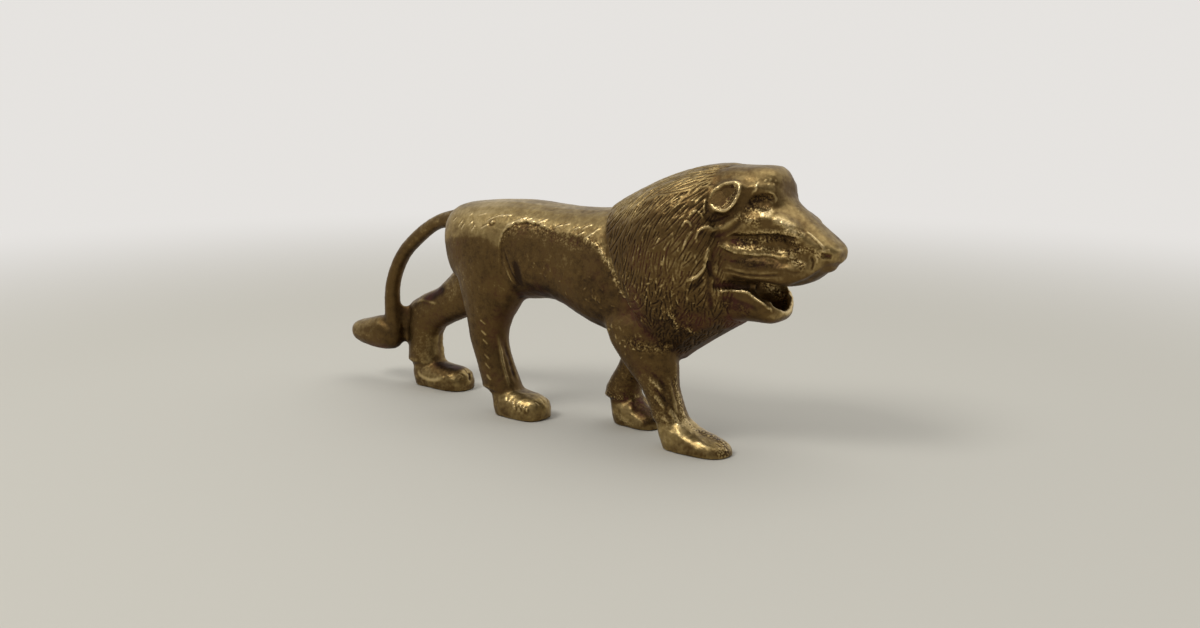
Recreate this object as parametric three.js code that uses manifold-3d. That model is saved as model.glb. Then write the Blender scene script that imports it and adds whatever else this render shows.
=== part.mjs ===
// A small solid brass lion, walking, with its mouth open and its tail curved down to the left hock.
// Millimetres. +X is forward, +Y is the lion's left, +Z is up, and the soles stand on Z = 0.
import * as THREE from 'three';
import { mergeVertices } from 'three/addons/utils/BufferGeometryUtils.js';
import Module from 'manifold-3d';

const wasm = await Module();
wasm.setup();
const { lerp, clamp } = THREE.MathUtils;

// Gap between neighbouring solids, and how finely the ovals and the curves are cut into facets
const seam = 0.3;
const facets = { trunk: 24, mane: 28, limb: 16, tail: 12, ear: 20, steps: 3, limbSteps: 2 };

// Heights above the table
const backHeight = 38.5;
const rumpHeight = 34.3;
const bellyHeight = 21.4;
const chestHeight = 13.6;
const maneHeight = 46.6;
const crownHeight = 46.4;
const browHeight = 41.9;
const noseHeight = 35.3;
const lipHeight = 29.8;
const chinHeight = 22.0;
const cuffHeight = 4.6;

// Places along the lion, forward of the middle of its stride
const rumpX = -26.4;
const waistX = -9.0;
const ribsX = 0.5;
const collarX = 11.8;
const chestX = 23.6;
const faceX = 33.4;
const throatX = 36.4;
const browX = 42.2;
const noseX = 51.4;
const chinX = 42.6;

// Half widths
const hipHalf = 8.2;
const torsoHalf = 8.0;
const collarHalf = 9.6;
const maneHalf = 11.3;
const headHalf = 6.6;
const browHalf = 3.9;
const muzzleHalf = 3.8;
const noseHalf = 2.5;
const jawHalf = 4.7;
const legHalf = 3.1;
const pawHalf = 3.5;
const tailHalf = 1.5;

// The left and the right feet stand this far to either side of the middle
const track = 3.9;

// The torso, from the rump to inside the mane
const torsoStations = [
  { a: [rumpX + 1.1, rumpHeight], b: [rumpX + 2.4, rumpHeight - 8.8], half: hipHalf - 3.8 },
  { a: [rumpX + 3.0, backHeight - 1.8], b: [rumpX + 4.2, bellyHeight + 1.1], half: hipHalf - 1.4 },
  { a: [rumpX + 8.4, backHeight - 0.8], b: [rumpX + 9.4, bellyHeight - 0.9], half: hipHalf },
  { a: [waistX, backHeight - 0.2], b: [waistX, bellyHeight - 0.8], half: torsoHalf },
  { a: [ribsX, backHeight - 0.7], b: [ribsX - 1.0, bellyHeight - 0.1], half: torsoHalf - 0.2 },
  { a: [collarX - 3.8, backHeight - 0.5], b: [collarX - 3.8, bellyHeight - 3.4], half: torsoHalf + 0.2 },
  { a: [collarX + 5.2, backHeight + 0.4], b: [collarX + 6.7, bellyHeight - 6.0], half: torsoHalf + 0.2 },
].map((station) => ({ square: 2.45, ...station }));

// The mane swells from a raised collar behind the shoulders to its widest behind the ears, and
// closes to the rim round the face. share runs from the collar (0) to the rim (1).
const collarStep = 0.9;
const maneStations = [
  { share: 0.0, half: collarHalf },
  { share: 0.18, half: maneHalf - 0.7 },
  { share: 0.44, half: maneHalf },
  { share: 0.68, half: maneHalf - 0.5 },
  { share: 0.84, half: maneHalf - 1.8 },
  { share: 0.93, half: headHalf + 1.4 },
  { share: 1.0, half: headHalf - 0.8 },
].map(({ share, half }) => ({
  a: [
    lerp(collarX, faceX, share),
    lerp(backHeight + collarStep, maneHeight, Math.sin(share * Math.PI / 2)),
  ],
  b: [lerp(chestX, throatX, share ** 1.4), lerp(chestHeight, chinHeight, share ** 1.25)],
  half,
  lean: 0.18,
}));

// The head: forehead, brow, nose bridge and nose above, the upper lip below. The lip hangs lowest
// under the brow and rises to the nose.
const bridge = (share) => [lerp(browX + 0.7, noseX, share), lerp(browHeight, noseHeight, share ** 0.93)];
const headStations = [
  { a: [faceX - 2.8, crownHeight], b: [faceX - 2.8, lipHeight - 0.6], half: headHalf, square: 3.2 },
  { a: [faceX + 2.6, crownHeight], b: [faceX + 2.0, lipHeight + 0.4], half: headHalf - 0.1, square: 3.2 },
  { a: [browX - 1.9, crownHeight], b: [browX - 2.6, lipHeight + 0.1], half: headHalf - 1.3, square: 3.0 },
  { a: [browX, crownHeight - 1.7], b: [browX - 0.2, lipHeight - 0.4], half: browHalf },
  { a: bridge(0.0), b: [browX + 2.0, lipHeight - 1.1], half: browHalf + 0.1, lean: -0.15 },
  { a: bridge(0.45), b: [lerp(browX, noseX, 0.54), lipHeight - 0.1], half: muzzleHalf, lean: -0.15 },
  { a: bridge(0.82), b: [lerp(browX, noseX, 0.8), lipHeight + 1.4], half: lerp(muzzleHalf, noseHalf, 0.4) },
  { a: bridge(1.0), b: [noseX - 0.4, lipHeight + 2.5], half: noseHalf, square: 2.5 },
  { a: [noseX + 0.7, noseHeight - 0.8], b: [noseX + 0.4, lipHeight + 3.2], half: noseHalf - 0.9, square: 2.5 },
].map((station) => ({ square: 2.7, ...station }));

// The cheekbones and the upper lip stand out from the head on both sides. faceAt is a height
// between the lip (0) and the brow (1), and sideAt a half width between the head's and the muzzle's.
const faceAt = (share) => lerp(lipHeight, browHeight, share);
const sideAt = (share) => lerp(headHalf, muzzleHalf, share);
const cheekStations = [
  { a: [faceX - 1.0, faceAt(0.86)], b: [faceX - 1.0, faceAt(0.5)], half: sideAt(0.06) },
  { a: [faceX + 4.4, faceAt(0.92)], b: [faceX + 4.2, faceAt(0.51)], half: sideAt(0.12) },
  { a: [browX - 0.6, faceAt(0.94)], b: [browX - 0.8, faceAt(0.51)], half: sideAt(0.36) },
  { a: [browX + 2.5, faceAt(0.81)], b: [browX + 2.0, faceAt(0.49)], half: sideAt(0.6) },
  { a: [browX + 5.5, faceAt(0.61)], b: [browX + 4.9, faceAt(0.42)], half: sideAt(0.84) },
  { a: [browX + 8.1, faceAt(0.46)], b: [browX + 7.6, faceAt(0.35)], half: noseHalf + 0.7 },
].map((station) => ({ square: 2.8, lean: -0.4, ...station }));
const lipStations = [
  { a: [faceX - 1.0, faceAt(0.34)], b: [faceX - 1.0, lipHeight - 0.9], half: sideAt(0.1) },
  { a: [faceX + 4.4, faceAt(0.29)], b: [faceX + 4.6, lipHeight - 1.1], half: sideAt(0.25) },
  { a: [browX - 1.0, faceAt(0.27)], b: [browX - 0.8, lipHeight - 1.2], half: sideAt(0.5) },
  { a: [browX + 2.2, faceAt(0.24)], b: [browX + 2.4, lipHeight - 1.5], half: sideAt(0.72) },
  { a: [browX + 5.0, faceAt(0.3)], b: [browX + 5.2, lipHeight - 0.5], half: sideAt(0.92) },
  { a: [noseX - 1.4, faceAt(0.36)], b: [noseX - 1.6, lipHeight + 1.3], half: noseHalf + 0.6 },
].map((station) => ({ square: 3.4, ...station }));

// The lower jaw: the cheeks close the mouth at its sides, then the rim drops to a short blunt chin
const jawAt = (share) => lerp(chinHeight, lipHeight, share);
const jawStations = [
  { a: [faceX - 1.9, lipHeight], b: [faceX - 0.9, chinHeight - 1.2], half: jawHalf + 0.2 },
  { a: [chinX - 5.6, jawAt(1)], b: [chinX - 6.0, chinHeight - 0.1], half: jawHalf },
  { a: [chinX - 2.4, jawAt(0.88)], b: [chinX - 3.0, chinHeight], half: jawHalf - 0.2 },
  { a: [chinX - 1.0, jawAt(0.64)], b: [chinX - 1.8, chinHeight], half: jawHalf - 0.6 },
  { a: [chinX - 0.4, jawAt(0.42)], b: [chinX - 0.8, jawAt(0.05)], half: jawHalf - 1.4 },
  { a: [chinX, jawAt(0.26)], b: [chinX - 0.1, jawAt(0.13)], half: jawHalf - 2.9 },
].map((station) => ({ square: 2.7, ...station }));

// The open mouth between the lip and the jaw, which ends in front of the mane
const mouthOpening = {
  x: chinX - 1.4,
  y: 0,
  z: (lipHeight + chinHeight) / 2 + 1.4,
  rx: 4.4,
  ry: jawHalf - 1.2,
  rz: (lipHeight - chinHeight) / 2 - 0.2,
};

// The jaw's rim dips lower on the right side
const rimDip = { x: chinX - 1.9, y: jawHalf - 0.4, z: jawAt(0.84), rx: 3.7, ry: 2.2, rz: 2.5, slope: 0.5 };

// Hollows of the head on both sides: the eye under the brow, and the long hollow of the cheek
const eyeHollow = {
  x: browX - 1.2, y: browHalf + 1.8, z: browHeight - 0.8, rx: 3.0, ry: 1.6, rz: 1.3, turn: 0.3, slope: 0.1,
};
const cheekHollow = {
  x: browX - 3.7, y: sideAt(0.14), z: faceAt(0.44), rx: 5.4, ry: 1.3, rz: 1.5, turn: 0.25, slope: 0,
};

// Ears: a pointed oval, turned up at its tip and leaning in with the head, with a rim round a cup
const ear = {
  x: faceX + 2.0,
  z: crownHeight - 4.8,
  long: 6.1,
  short: 4.5,
  tilt: 0.75,
  lean: 0.3,
  rim: 0.55,
  cup: 0.7,
  inner: headHalf - 1.6,
  outer: headHalf + 0.5,
};

// Legs from the shoulder or the hip down to inside the paw: front edge (a), back edge (b), half
// width, and how far out of the track the section lies. foot is the middle of the cuff.
const shoulderX = 17.0;
const hipX = -15.5;
const foot = { rightFront: 23.7, leftFront: 8.9, rightHind: -12.2, leftHind: -38.6 };

const rightFrontLeg = [
  { a: [shoulderX + 4.0, 26.5], b: [shoulderX - 4.0, 27.0], half: legHalf - 0.9, out: -0.6 },
  { a: [shoulderX + 7.0, 20.0], b: [shoulderX - 5.6, 19.8], half: legHalf + 0.9, out: 0.5 },
  { a: [shoulderX + 8.0, 13.6], b: [shoulderX - 2.2, 13.4], half: legHalf + 0.3, out: 0 },
  { a: [foot.rightFront + 1.3, 10.2], b: [foot.rightFront - 5.3, 10.0], half: legHalf, out: 0 },
  { a: [foot.rightFront + 2.4, 6.8], b: [foot.rightFront - 3.4, 6.6], half: legHalf - 0.2, out: 0 },
  { a: [foot.rightFront + 3.8, 3.6], b: [foot.rightFront - 2.2, 3.4], half: legHalf, out: 0 },
];
const leftFrontLeg = [
  { a: [shoulderX + 4.0, 26.5], b: [shoulderX - 4.0, 27.0], half: legHalf - 0.9, out: -0.6 },
  { a: [shoulderX + 4.0, 20.0], b: [shoulderX - 7.0, 19.8], half: legHalf + 0.9, out: 0.5 },
  { a: [foot.leftFront + 7.9, 13.0], b: [foot.leftFront + 0.4, 12.6], half: legHalf + 0.1, out: 0 },
  { a: [foot.leftFront + 5.1, 9.6], b: [foot.leftFront - 1.3, 9.2], half: legHalf - 0.2, out: 0 },
  { a: [foot.leftFront + 3.3, 6.6], b: [foot.leftFront - 3.1, 6.2], half: legHalf - 0.2, out: 0 },
  { a: [foot.leftFront + 3.5, 3.2], b: [foot.leftFront - 3.4, 3.0], half: legHalf - 0.1, out: 0 },
];
const rightHindLeg = [
  { a: [hipX + 3.0, 32.8], b: [hipX - 3.5, 31.8], half: legHalf - 1.1, out: -0.6 },
  { a: [hipX + 7.2, 28.5], b: [hipX - 6.1, 28.0], half: legHalf + 0.9, out: 0.4 },
  { a: [hipX + 9.3, 23.4], b: [hipX - 5.5, 23.0], half: legHalf + 1.2, out: 0.3 },
  { a: [foot.rightHind + 1.8, 17.2], b: [foot.rightHind - 7.4, 17.0], half: legHalf + 0.3, out: 0 },
  { a: [foot.rightHind + 0.6, 13.0], b: [foot.rightHind - 6.6, 13.0], half: legHalf, out: 0 },
  { a: [foot.rightHind + 2.0, 8.6], b: [foot.rightHind - 5.0, 8.6], half: legHalf - 0.1, out: 0 },
  { a: [foot.rightHind + 4.5, 3.4], b: [foot.rightHind - 3.2, 3.4], half: legHalf + 0.2, out: 0 },
];
const leftHindLeg = [
  { a: [hipX + 3.5, 31.0], b: [hipX - 3.0, 33.0], half: legHalf - 1.1, out: -0.6 },
  { a: [hipX + 4.5, 25.5], b: [hipX - 7.3, 31.0], half: legHalf + 0.9, out: 0.8 },
  { a: [hipX - 4.0, 18.0], b: [hipX - 12.7, 25.4], half: legHalf + 0.6, out: 0.5 },
  { a: [foot.leftHind + 10.6, 14.2], b: [foot.leftHind + 4.4, 19.6], half: legHalf + 0.2, out: 0 },
  { a: [foot.leftHind + 4.6, 11.4], b: [foot.leftHind - 2.8, 16.2], half: legHalf, out: 0 },
  { a: [foot.leftHind + 3.2, 8.2], b: [foot.leftHind - 3.4, 9.4], half: legHalf, out: 0 },
  { a: [foot.leftHind + 4.3, 3.4], b: [foot.leftHind - 3.8, 3.4], half: legHalf + 0.1, out: 0 },
];
const legs = {
  right_front: { stations: rightFrontLeg, side: -1 },
  left_front: { stations: leftFrontLeg, side: 1 },
  right_hind: { stations: rightHindLeg, side: -1 },
  left_hind: { stations: leftHindLeg, side: 1 },
};

// Paws: how far the toe reaches in front of the leg, how tall the instep and the round of the toe
// are, how far the heel is set in from the back of the leg at the cuff, and how much further in it
// is at the sole
const paws = {
  right_front: { toeReach: 8.2, instep: 3.7, toeTall: 2.4, heelInset: 0.2, heelSlope: 2.8 },
  left_front: { toeReach: 4.9, instep: 3.7, toeTall: 2.7, heelInset: 0.9, heelSlope: 1.8 },
  right_hind: { toeReach: 6.0, instep: 4.6, toeTall: 4.0, heelInset: 1.7, heelSlope: 1.8 },
  left_hind: { toeReach: 7.2, instep: 4.6, toeTall: 4.2, heelInset: 0.9, heelSlope: 1.8 },
};

// The tail's arc from the top of the rump: outer edge (a) and inner edge (b)
const tailEnd = { x: -43.3, z: 10.6 };
const tailStations = [
  { a: [rumpX + 2.6, rumpHeight + 1.9], b: [rumpX + 1.4, rumpHeight - 2.0], half: tailHalf + 0.4 },
  { a: [rumpX - 0.2, rumpHeight + 1.1], b: [rumpX - 0.8, rumpHeight - 2.3], half: tailHalf + 0.3 },
  { a: [rumpX - 4.8, rumpHeight - 0.3], b: [rumpX - 4.4, rumpHeight - 3.0], half: tailHalf },
  { a: [rumpX - 10.1, rumpHeight - 3.4], b: [rumpX - 8.4, rumpHeight - 5.5], half: tailHalf },
  { a: [tailEnd.x + 1.9, tailEnd.z + 15.8], b: [tailEnd.x + 4.1, tailEnd.z + 14.4], half: tailHalf },
  { a: [tailEnd.x - 1.1, tailEnd.z + 10.2], b: [tailEnd.x + 1.5, tailEnd.z + 9.5], half: tailHalf },
  { a: [tailEnd.x - 1.9, tailEnd.z + 5.0], b: [tailEnd.x + 1.3, tailEnd.z + 4.8], half: tailHalf },
  { a: [tailEnd.x - 1.7, tailEnd.z], b: [tailEnd.x + 1.7, tailEnd.z], half: tailHalf + 0.1 },
];

// The tuft, a blunt wedge that points back from the end of the tail
const tuftHalf = 2.7;
const tuftStations = [
  { a: [tailEnd.x + 1.7, tailEnd.z - 0.8], b: [tailEnd.x + 1.3, tailEnd.z - 2.4], half: tuftHalf - 1.8 },
  { a: [tailEnd.x + 0.7, tailEnd.z + 1.4], b: [tailEnd.x + 0.3, tailEnd.z - 3.6], half: tuftHalf - 0.7 },
  { a: [tailEnd.x - 2.3, tailEnd.z + 2.8], b: [tailEnd.x - 2.7, tailEnd.z - 4.1], half: tuftHalf - 0.1 },
  { a: [tailEnd.x - 6.7, tailEnd.z + 1.8], b: [tailEnd.x - 6.5, tailEnd.z - 3.8], half: tuftHalf },
  { a: [tailEnd.x - 9.8, tailEnd.z + 0.9], b: [tailEnd.x - 9.3, tailEnd.z - 3.1], half: tuftHalf - 0.5 },
  { a: [tailEnd.x - 10.7, tailEnd.z - 0.1], b: [tailEnd.x - 10.4, tailEnd.z - 2.3], half: tuftHalf - 1.5 },
];

// The web of metal from the tail to the back of the left hock
const webHalf = 1.0;
const webTall = 4.6;
const webHeight = 13.2;

// Finish
const brass = { color: 0x8a6f38, roughness: 0.38, metalness: 1.0 };

// One oval section that spans two points of the side view and reaches half its width to each side.
// square rounds it from an ellipse (2) towards a box, and lean moves its widest point towards a.
function sectionRing({ a, b, half, y = 0, square = 2.2, lean = 0 }, around) {
  const ring = [];
  for (let i = 0; i < around; i += 1) {
    const angle = (i / around) * 2 * Math.PI;
    const across = Math.sign(Math.sin(angle)) * Math.abs(Math.sin(angle)) ** (2 / square);
    let along = Math.sign(Math.cos(angle)) * Math.abs(Math.cos(angle)) ** (2 / square);
    along += lean * (1 - along * along);
    const share = (1 + along) / 2;
    ring.push(new THREE.Vector3(lerp(b[0], a[0], share), y + across * half, lerp(b[1], a[1], share)));
  }
  return ring;
}

// A value between q and r on a smooth curve through p, q, r and s
function smoothValue([p, q, r, s], t) {
  const rise = (r - p) / 2;
  const fall = (s - q) / 2;
  return (2 * t ** 3 - 3 * t ** 2 + 1) * q + (t ** 3 - 2 * t ** 2 + t) * rise
    + (3 * t ** 2 - 2 * t ** 3) * r + (t ** 3 - t ** 2) * fall;
}

// More stations between the given ones, on smooth curves through them
function smoothStations(stations, steps) {
  const rows = stations.map(({ a, b, half, y = 0, square = 2.2, lean = 0 }) => (
    [a[0], a[1], b[0], b[1], half, y, square, lean]));
  const result = [];
  for (let i = 0; i <= (rows.length - 1) * steps; i += 1) {
    const k = Math.min(Math.floor(i / steps), rows.length - 2);
    const near = [k - 1, k, k + 1, k + 2].map((n) => rows[clamp(n, 0, rows.length - 1)]);
    const v = rows[0].map((_, column) => smoothValue(near.map((row) => row[column]), i / steps - k));
    result.push({ a: [v[0], v[1]], b: [v[2], v[3]], half: v[4], y: v[5], square: v[6], lean: v[7] });
  }
  return result;
}

// The same stations, larger by one gap all round and at both ends
function grownStations(stations, gap) {
  const middle = ({ a, b }) => new THREE.Vector2((a[0] + b[0]) / 2, (a[1] + b[1]) / 2);
  return stations.map((station, i) => {
    const { a, b } = station;
    const reach = new THREE.Vector2(a[0] - b[0], a[1] - b[1]).setLength(gap);
    const push = new THREE.Vector2();
    const neighbour = { 0: stations[1], [stations.length - 1]: stations[stations.length - 2] }[i];
    if (neighbour) push.subVectors(middle(station), middle(neighbour)).setLength(gap);
    return {
      ...station,
      a: [a[0] + reach.x + push.x, a[1] + reach.y + push.y],
      b: [b[0] - reach.x + push.x, b[1] - reach.y + push.y],
      half: station.half + gap,
    };
  });
}

// Closed geometry to a solid that faces out, and a solid back to geometry
function toSolid(geometry) {
  geometry.deleteAttribute('normal');
  geometry.deleteAttribute('uv');
  const merged = mergeVertices(geometry, 1e-5);
  const position = merged.getAttribute('position');
  const corners = Uint32Array.from(merged.index.array);
  const [p, q, r] = [new THREE.Vector3(), new THREE.Vector3(), new THREE.Vector3()];
  let volume = 0;
  for (let i = 0; i < corners.length; i += 3) {
    p.fromBufferAttribute(position, corners[i]);
    q.fromBufferAttribute(position, corners[i + 1]);
    r.fromBufferAttribute(position, corners[i + 2]);
    volume += p.dot(q.cross(r)) / 6;
  }
  if (volume < 0) corners.reverse();
  return new wasm.Manifold(new wasm.Mesh({
    numProp: 3,
    vertProperties: Float32Array.from(position.array),
    triVerts: corners,
  }));
}

function toGeometry(solid) {
  const { vertProperties, triVerts } = solid.getMesh();
  const geometry = new THREE.BufferGeometry();
  geometry.setAttribute('position', new THREE.BufferAttribute(Float32Array.from(vertProperties), 3));
  geometry.setIndex(Array.from(triVerts));
  geometry.computeVertexNormals();
  return geometry;
}

// A closed solid through rings of points, with a flat cap at each end
function solidThrough(rings) {
  const around = rings[0].length;
  const points = rings.flat();
  const faces = [];
  for (let r = 0; r < rings.length - 1; r += 1) {
    for (let i = 0; i < around; i += 1) {
      const [p, q] = [r * around + i, r * around + ((i + 1) % around)];
      faces.push(p, q, q + around, p, q + around, p + around);
    }
  }
  for (const [ring, first, turned] of [[rings[0], 0, true], [rings.at(-1), points.length - around, false]]) {
    const hub = points.push(ring.reduce((sum, p) => sum.add(p), new THREE.Vector3()).divideScalar(around)) - 1;
    for (let i = 0; i < around; i += 1) {
      const [p, q] = [first + i, first + ((i + 1) % around)];
      faces.push(hub, turned ? q : p, turned ? p : q);
    }
  }
  const geometry = new THREE.BufferGeometry().setFromPoints(points);
  geometry.setIndex(faces);
  return toSolid(geometry);
}

function lofted(stations, around, steps) {
  return solidThrough(smoothStations(stations, steps).map((station) => sectionRing(station, around)));
}

// A piece, and the larger copy that cuts its seat in its neighbours
function pieceOf(stations, around, steps = facets.steps) {
  return {
    body: lofted(stations, around, steps),
    cutter: lofted(grownStations(stations, seam), around, steps),
  };
}

// Two or more such pieces joined to one
function joined(...parts) {
  const union = (key) => parts.map((part) => part[key]).reduce((whole, part) => whole.add(part));
  return { body: union('body'), cutter: union('cutter') };
}

// A slice between two heights that is wider than the lion
function slice(low, high) {
  const box = new THREE.BoxGeometry(400, 200, high - low);
  box.translate(0, 0, (low + high) / 2);
  return toSolid(box);
}

// An ellipsoid that hollows a side of the head, or opens the mouth
function hollow({ x, y, z, rx, ry, rz, turn = 0, slope = 0 }, side = 1) {
  const ball = new THREE.SphereGeometry(1, 14, 9);
  ball.scale(rx, ry, rz);
  ball.rotateY(slope);
  ball.rotateZ(-turn);
  ball.translate(x, y, z);
  ball.scale(1, side, 1);
  return toSolid(ball);
}

// An ear's outline: an oval that narrows to its tip
function earOutline(inset) {
  const points = [];
  for (let i = 0; i < facets.ear; i += 1) {
    const angle = (i / facets.ear) * 2 * Math.PI;
    const narrowing = 1 - 0.3 * Math.cos(angle);
    points.push(new THREE.Vector2(
      (ear.long / 2 - inset) * Math.cos(angle),
      (ear.short / 2 - inset) * narrowing * Math.sin(angle),
    ));
  }
  return new THREE.Shape(points);
}

// A plate of that outline between two distances from the middle of the head
function earPlate(inset, inner, outer, side) {
  const plate = new THREE.ExtrudeGeometry(earOutline(inset), { depth: outer - inner, bevelEnabled: false });
  plate.rotateZ(ear.tilt);
  plate.translate(0, 0, inner);
  plate.rotateX(Math.PI / 2 - ear.lean);
  plate.translate(ear.x, ear.inner * (Math.cos(ear.lean) - 1), ear.z - ear.inner * Math.sin(ear.lean));
  plate.scale(1, -side, 1);
  return toSolid(plate);
}

function earPiece(side) {
  const beyond = ear.outer + 2 * seam;
  const cup = earPlate(ear.rim, ear.outer - ear.cup, beyond, side);
  return {
    body: earPlate(0, ear.inner, ear.outer, side).subtract(cup),
    cutter: earPlate(-seam, ear.inner - seam, beyond, side),
  };
}

// A leg's front and back edge at a height, found on the straight between the two stations round it
function legEdges(stations, height) {
  const edgeAt = (edge) => {
    const k = stations.findIndex((station) => station[edge][1] <= height);
    const [above, below] = [stations[k - 1][edge], stations[k][edge]];
    return lerp(above[0], below[0], (above[1] - height) / (above[1] - below[1]));
  };
  return { front: edgeAt('a'), back: edgeAt('b') };
}

// A paw: a flat sole, a round heel and toe, and an instep cut flat at the cuff to carry the leg
function pawPiece({ toeReach, instep, toeTall, heelInset, heelSlope }, { stations, side }) {
  const { front, back } = legEdges(stations, cuffHeight);
  const heel = back + heelInset;
  const station = (x, height, inward, drop = 0) => ({
    a: [x, height],
    b: [x + drop, -0.45 * cuffHeight],
    half: pawHalf - inward,
    y: side * track,
    square: 2.5,
  });
  const toes = (share) => front + share * toeReach;
  const paw = lofted([
    station(heel, cuffHeight + 1.2, 2.4, heelSlope),
    station(heel + 0.5, cuffHeight + 1.2, 1.3, heelSlope),
    station(heel + 2.0, cuffHeight + 1.2, 0.5, heelSlope * 0.8),
    station(toes(0), cuffHeight + 0.3, 0.1),
    station(toes(0.2), instep, 0.05),
    station(toes(0.45), lerp(instep, toeTall, 0.4), 0),
    station(toes(0.75), toeTall, 0.4, -0.2),
    station(toes(0.93), toeTall - 0.8, 1.3, -0.4),
    station(toes(1), toeTall - 2.0, 2.7, -0.5),
  ], facets.limb, facets.limbSteps);
  return paw.intersect(slice(0, cuffHeight));
}

// Every piece before its neighbours cut it
const mane = pieceOf(maneStations, facets.mane);
const torso = pieceOf(torsoStations, facets.trunk);
const head = joined(
  pieceOf(headStations, facets.trunk),
  pieceOf(cheekStations, facets.trunk, facets.limbSteps),
  pieceOf(lipStations, facets.trunk, facets.limbSteps),
);
const jaw = pieceOf(jawStations, facets.trunk);
const tail = pieceOf(tailStations, facets.tail);
const tuft = pieceOf(tuftStations, facets.tail);
const rightEar = earPiece(-1);
const leftEar = earPiece(1);
const mouth = hollow(mouthOpening);
for (const leg of Object.values(legs)) {
  const placed = leg.stations.map(({ out, ...station }) => ({ ...station, y: leg.side * (track + out) }));
  leg.piece = pieceOf(placed, facets.limb, facets.limbSteps);
}
const hockBack = legEdges(leftHindLeg, webHeight).back;
const web = pieceOf([
  { x: tailEnd.x - 0.3, y: -0.2 },
  { x: (tailEnd.x + hockBack + 1.4) / 2, y: 0.3 * track },
  { x: hockBack + 1.4, y: 0.75 * track },
].map(({ x, y }) => ({
  a: [x, webHeight + webTall / 2],
  b: [x, webHeight - webTall / 2],
  half: webHalf,
  y,
})), facets.tail, facets.limbSteps);

// The finished pieces: each one gives way to those that it meets
const cut = (body, ...cutters) => cutters.reduce((rest, cutter) => rest.subtract(cutter), body);
const headHollows = [1, -1].flatMap((side) => [hollow(eyeHollow, side), hollow(cheekHollow, side)]);
const pieces = {
  mane: cut(mane.body, rightEar.cutter, leftEar.cutter),
  head: cut(head.body, mane.cutter, rightEar.cutter, leftEar.cutter, mouth, ...headHollows),
  lower_jaw: cut(jaw.body, mane.cutter, head.cutter, mouth, hollow(rimDip, -1)),
  right_ear: rightEar.body,
  left_ear: leftEar.body,
  torso: cut(torso.body, mane.cutter, ...Object.values(legs).map((leg) => leg.piece.cutter)),
  tail: cut(tail.body, torso.cutter),
  tail_tuft: cut(tuft.body, tail.cutter),
  tail_tie: cut(web.body, tail.cutter, legs.left_hind.piece.cutter, tuft.cutter),
};
for (const [name, leg] of Object.entries(legs)) {
  pieces[`${name}_leg`] = cut(leg.piece.body, mane.cutter, slice(-10, cuffHeight));
  pieces[`${name}_paw`] = pawPiece(paws[name], leg);
}

// The lion: the middle of its box stands over the origin, with the soles at Z = 0
const lion = new THREE.Group();
for (const [name, solid] of Object.entries(pieces)) {
  const mesh = new THREE.Mesh(toGeometry(solid), new THREE.MeshStandardMaterial(brass));
  mesh.name = name;
  lion.add(mesh);
}
const box = new THREE.Box3().setFromObject(lion);
const middle = box.getCenter(new THREE.Vector3());
lion.position.set(-middle.x, -middle.y, -box.min.z);

export default lion;
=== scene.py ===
# A small aged brass lion in mid stride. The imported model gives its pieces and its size; the metal is
# worked here as one skin, in millimetres, and then parted into the same named pieces.
import math

import bmesh
import bpy
import numpy as np
from mathutils import Matrix, Vector, noise
from mathutils.bvhtree import BVHTree


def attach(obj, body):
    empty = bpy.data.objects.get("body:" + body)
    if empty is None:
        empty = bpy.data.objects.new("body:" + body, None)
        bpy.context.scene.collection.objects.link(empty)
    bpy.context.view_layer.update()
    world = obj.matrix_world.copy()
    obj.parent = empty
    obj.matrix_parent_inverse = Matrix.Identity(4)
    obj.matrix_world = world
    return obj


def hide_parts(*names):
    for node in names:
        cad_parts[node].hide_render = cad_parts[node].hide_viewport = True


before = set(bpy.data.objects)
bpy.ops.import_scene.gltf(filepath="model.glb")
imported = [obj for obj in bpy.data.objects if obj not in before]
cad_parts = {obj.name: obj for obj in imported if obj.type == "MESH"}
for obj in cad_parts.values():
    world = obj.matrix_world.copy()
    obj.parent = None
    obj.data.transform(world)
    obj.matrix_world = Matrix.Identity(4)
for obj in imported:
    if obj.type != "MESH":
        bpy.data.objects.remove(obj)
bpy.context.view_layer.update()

bl_info = {
    "name": "Brass Lion",
    "version": (1, 0, 0),
    "blender": (4, 5, 0),
    "location": "View3D > Sidebar > Brass Lion",
    "description": "Works the skin, the hair and the aged finish of a small brass lion",
    "category": "Object",
}

# The pieces, in the order in which they are listed
PIECES = (
    "mane", "head", "lower_jaw", "right_ear", "left_ear", "torso", "tail", "tail_tuft", "tail_tie",
    "right_front_leg", "right_front_paw", "left_front_leg", "left_front_paw",
    "right_hind_leg", "right_hind_paw", "left_hind_leg", "left_hind_paw",
)
MM = 1000  # millimetres in a metre
SOLE, PAW_TOP = 0.5, 6  # heights below which the metal is sole, and paw


class Metal:
    """The skin while it is worked: co, edges, quads, normal, tree and piece, and at each vertex how much
    brighter (tone) and rougher (grain) the work has left it. The tone holds wear, and also painted highlight
    and painted shade."""
    tone = grain = ()


metal = Metal()


def length(name, description, default, low, high):
    return bpy.props.FloatProperty(
        name=name, description=description + ", in millimetres", default=default, min=low, max=high)


class LionSizes(bpy.types.PropertyGroup):
    """Sizes of the worked metal"""
    blank_cell: length("Blank cell", "Cell of the rough blank", 0.45, 0.3, 1.0)
    fine_cell: length("Fine cell", "Cell of the finished skin", 0.175, 0.12, 0.6)
    swell: length("Swell", "How far the pieces grow to meet across their seams", 0.24, 0.1, 0.5)
    hair_gap: length("Hair gap", "Distance between two strokes of hair", 0.45, 0.3, 2.0)
    hair_depth: length("Hair depth", "Depth of a stroke of hair", 0.2, 0, 0.6)
    cast_grain: length("Cast grain", "Height of the casting's uneven surface", 0.05, 0, 0.3)
    seed: bpy.props.IntProperty(name="Seed", description="Start of the random hand work", default=7, min=0)


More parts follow.
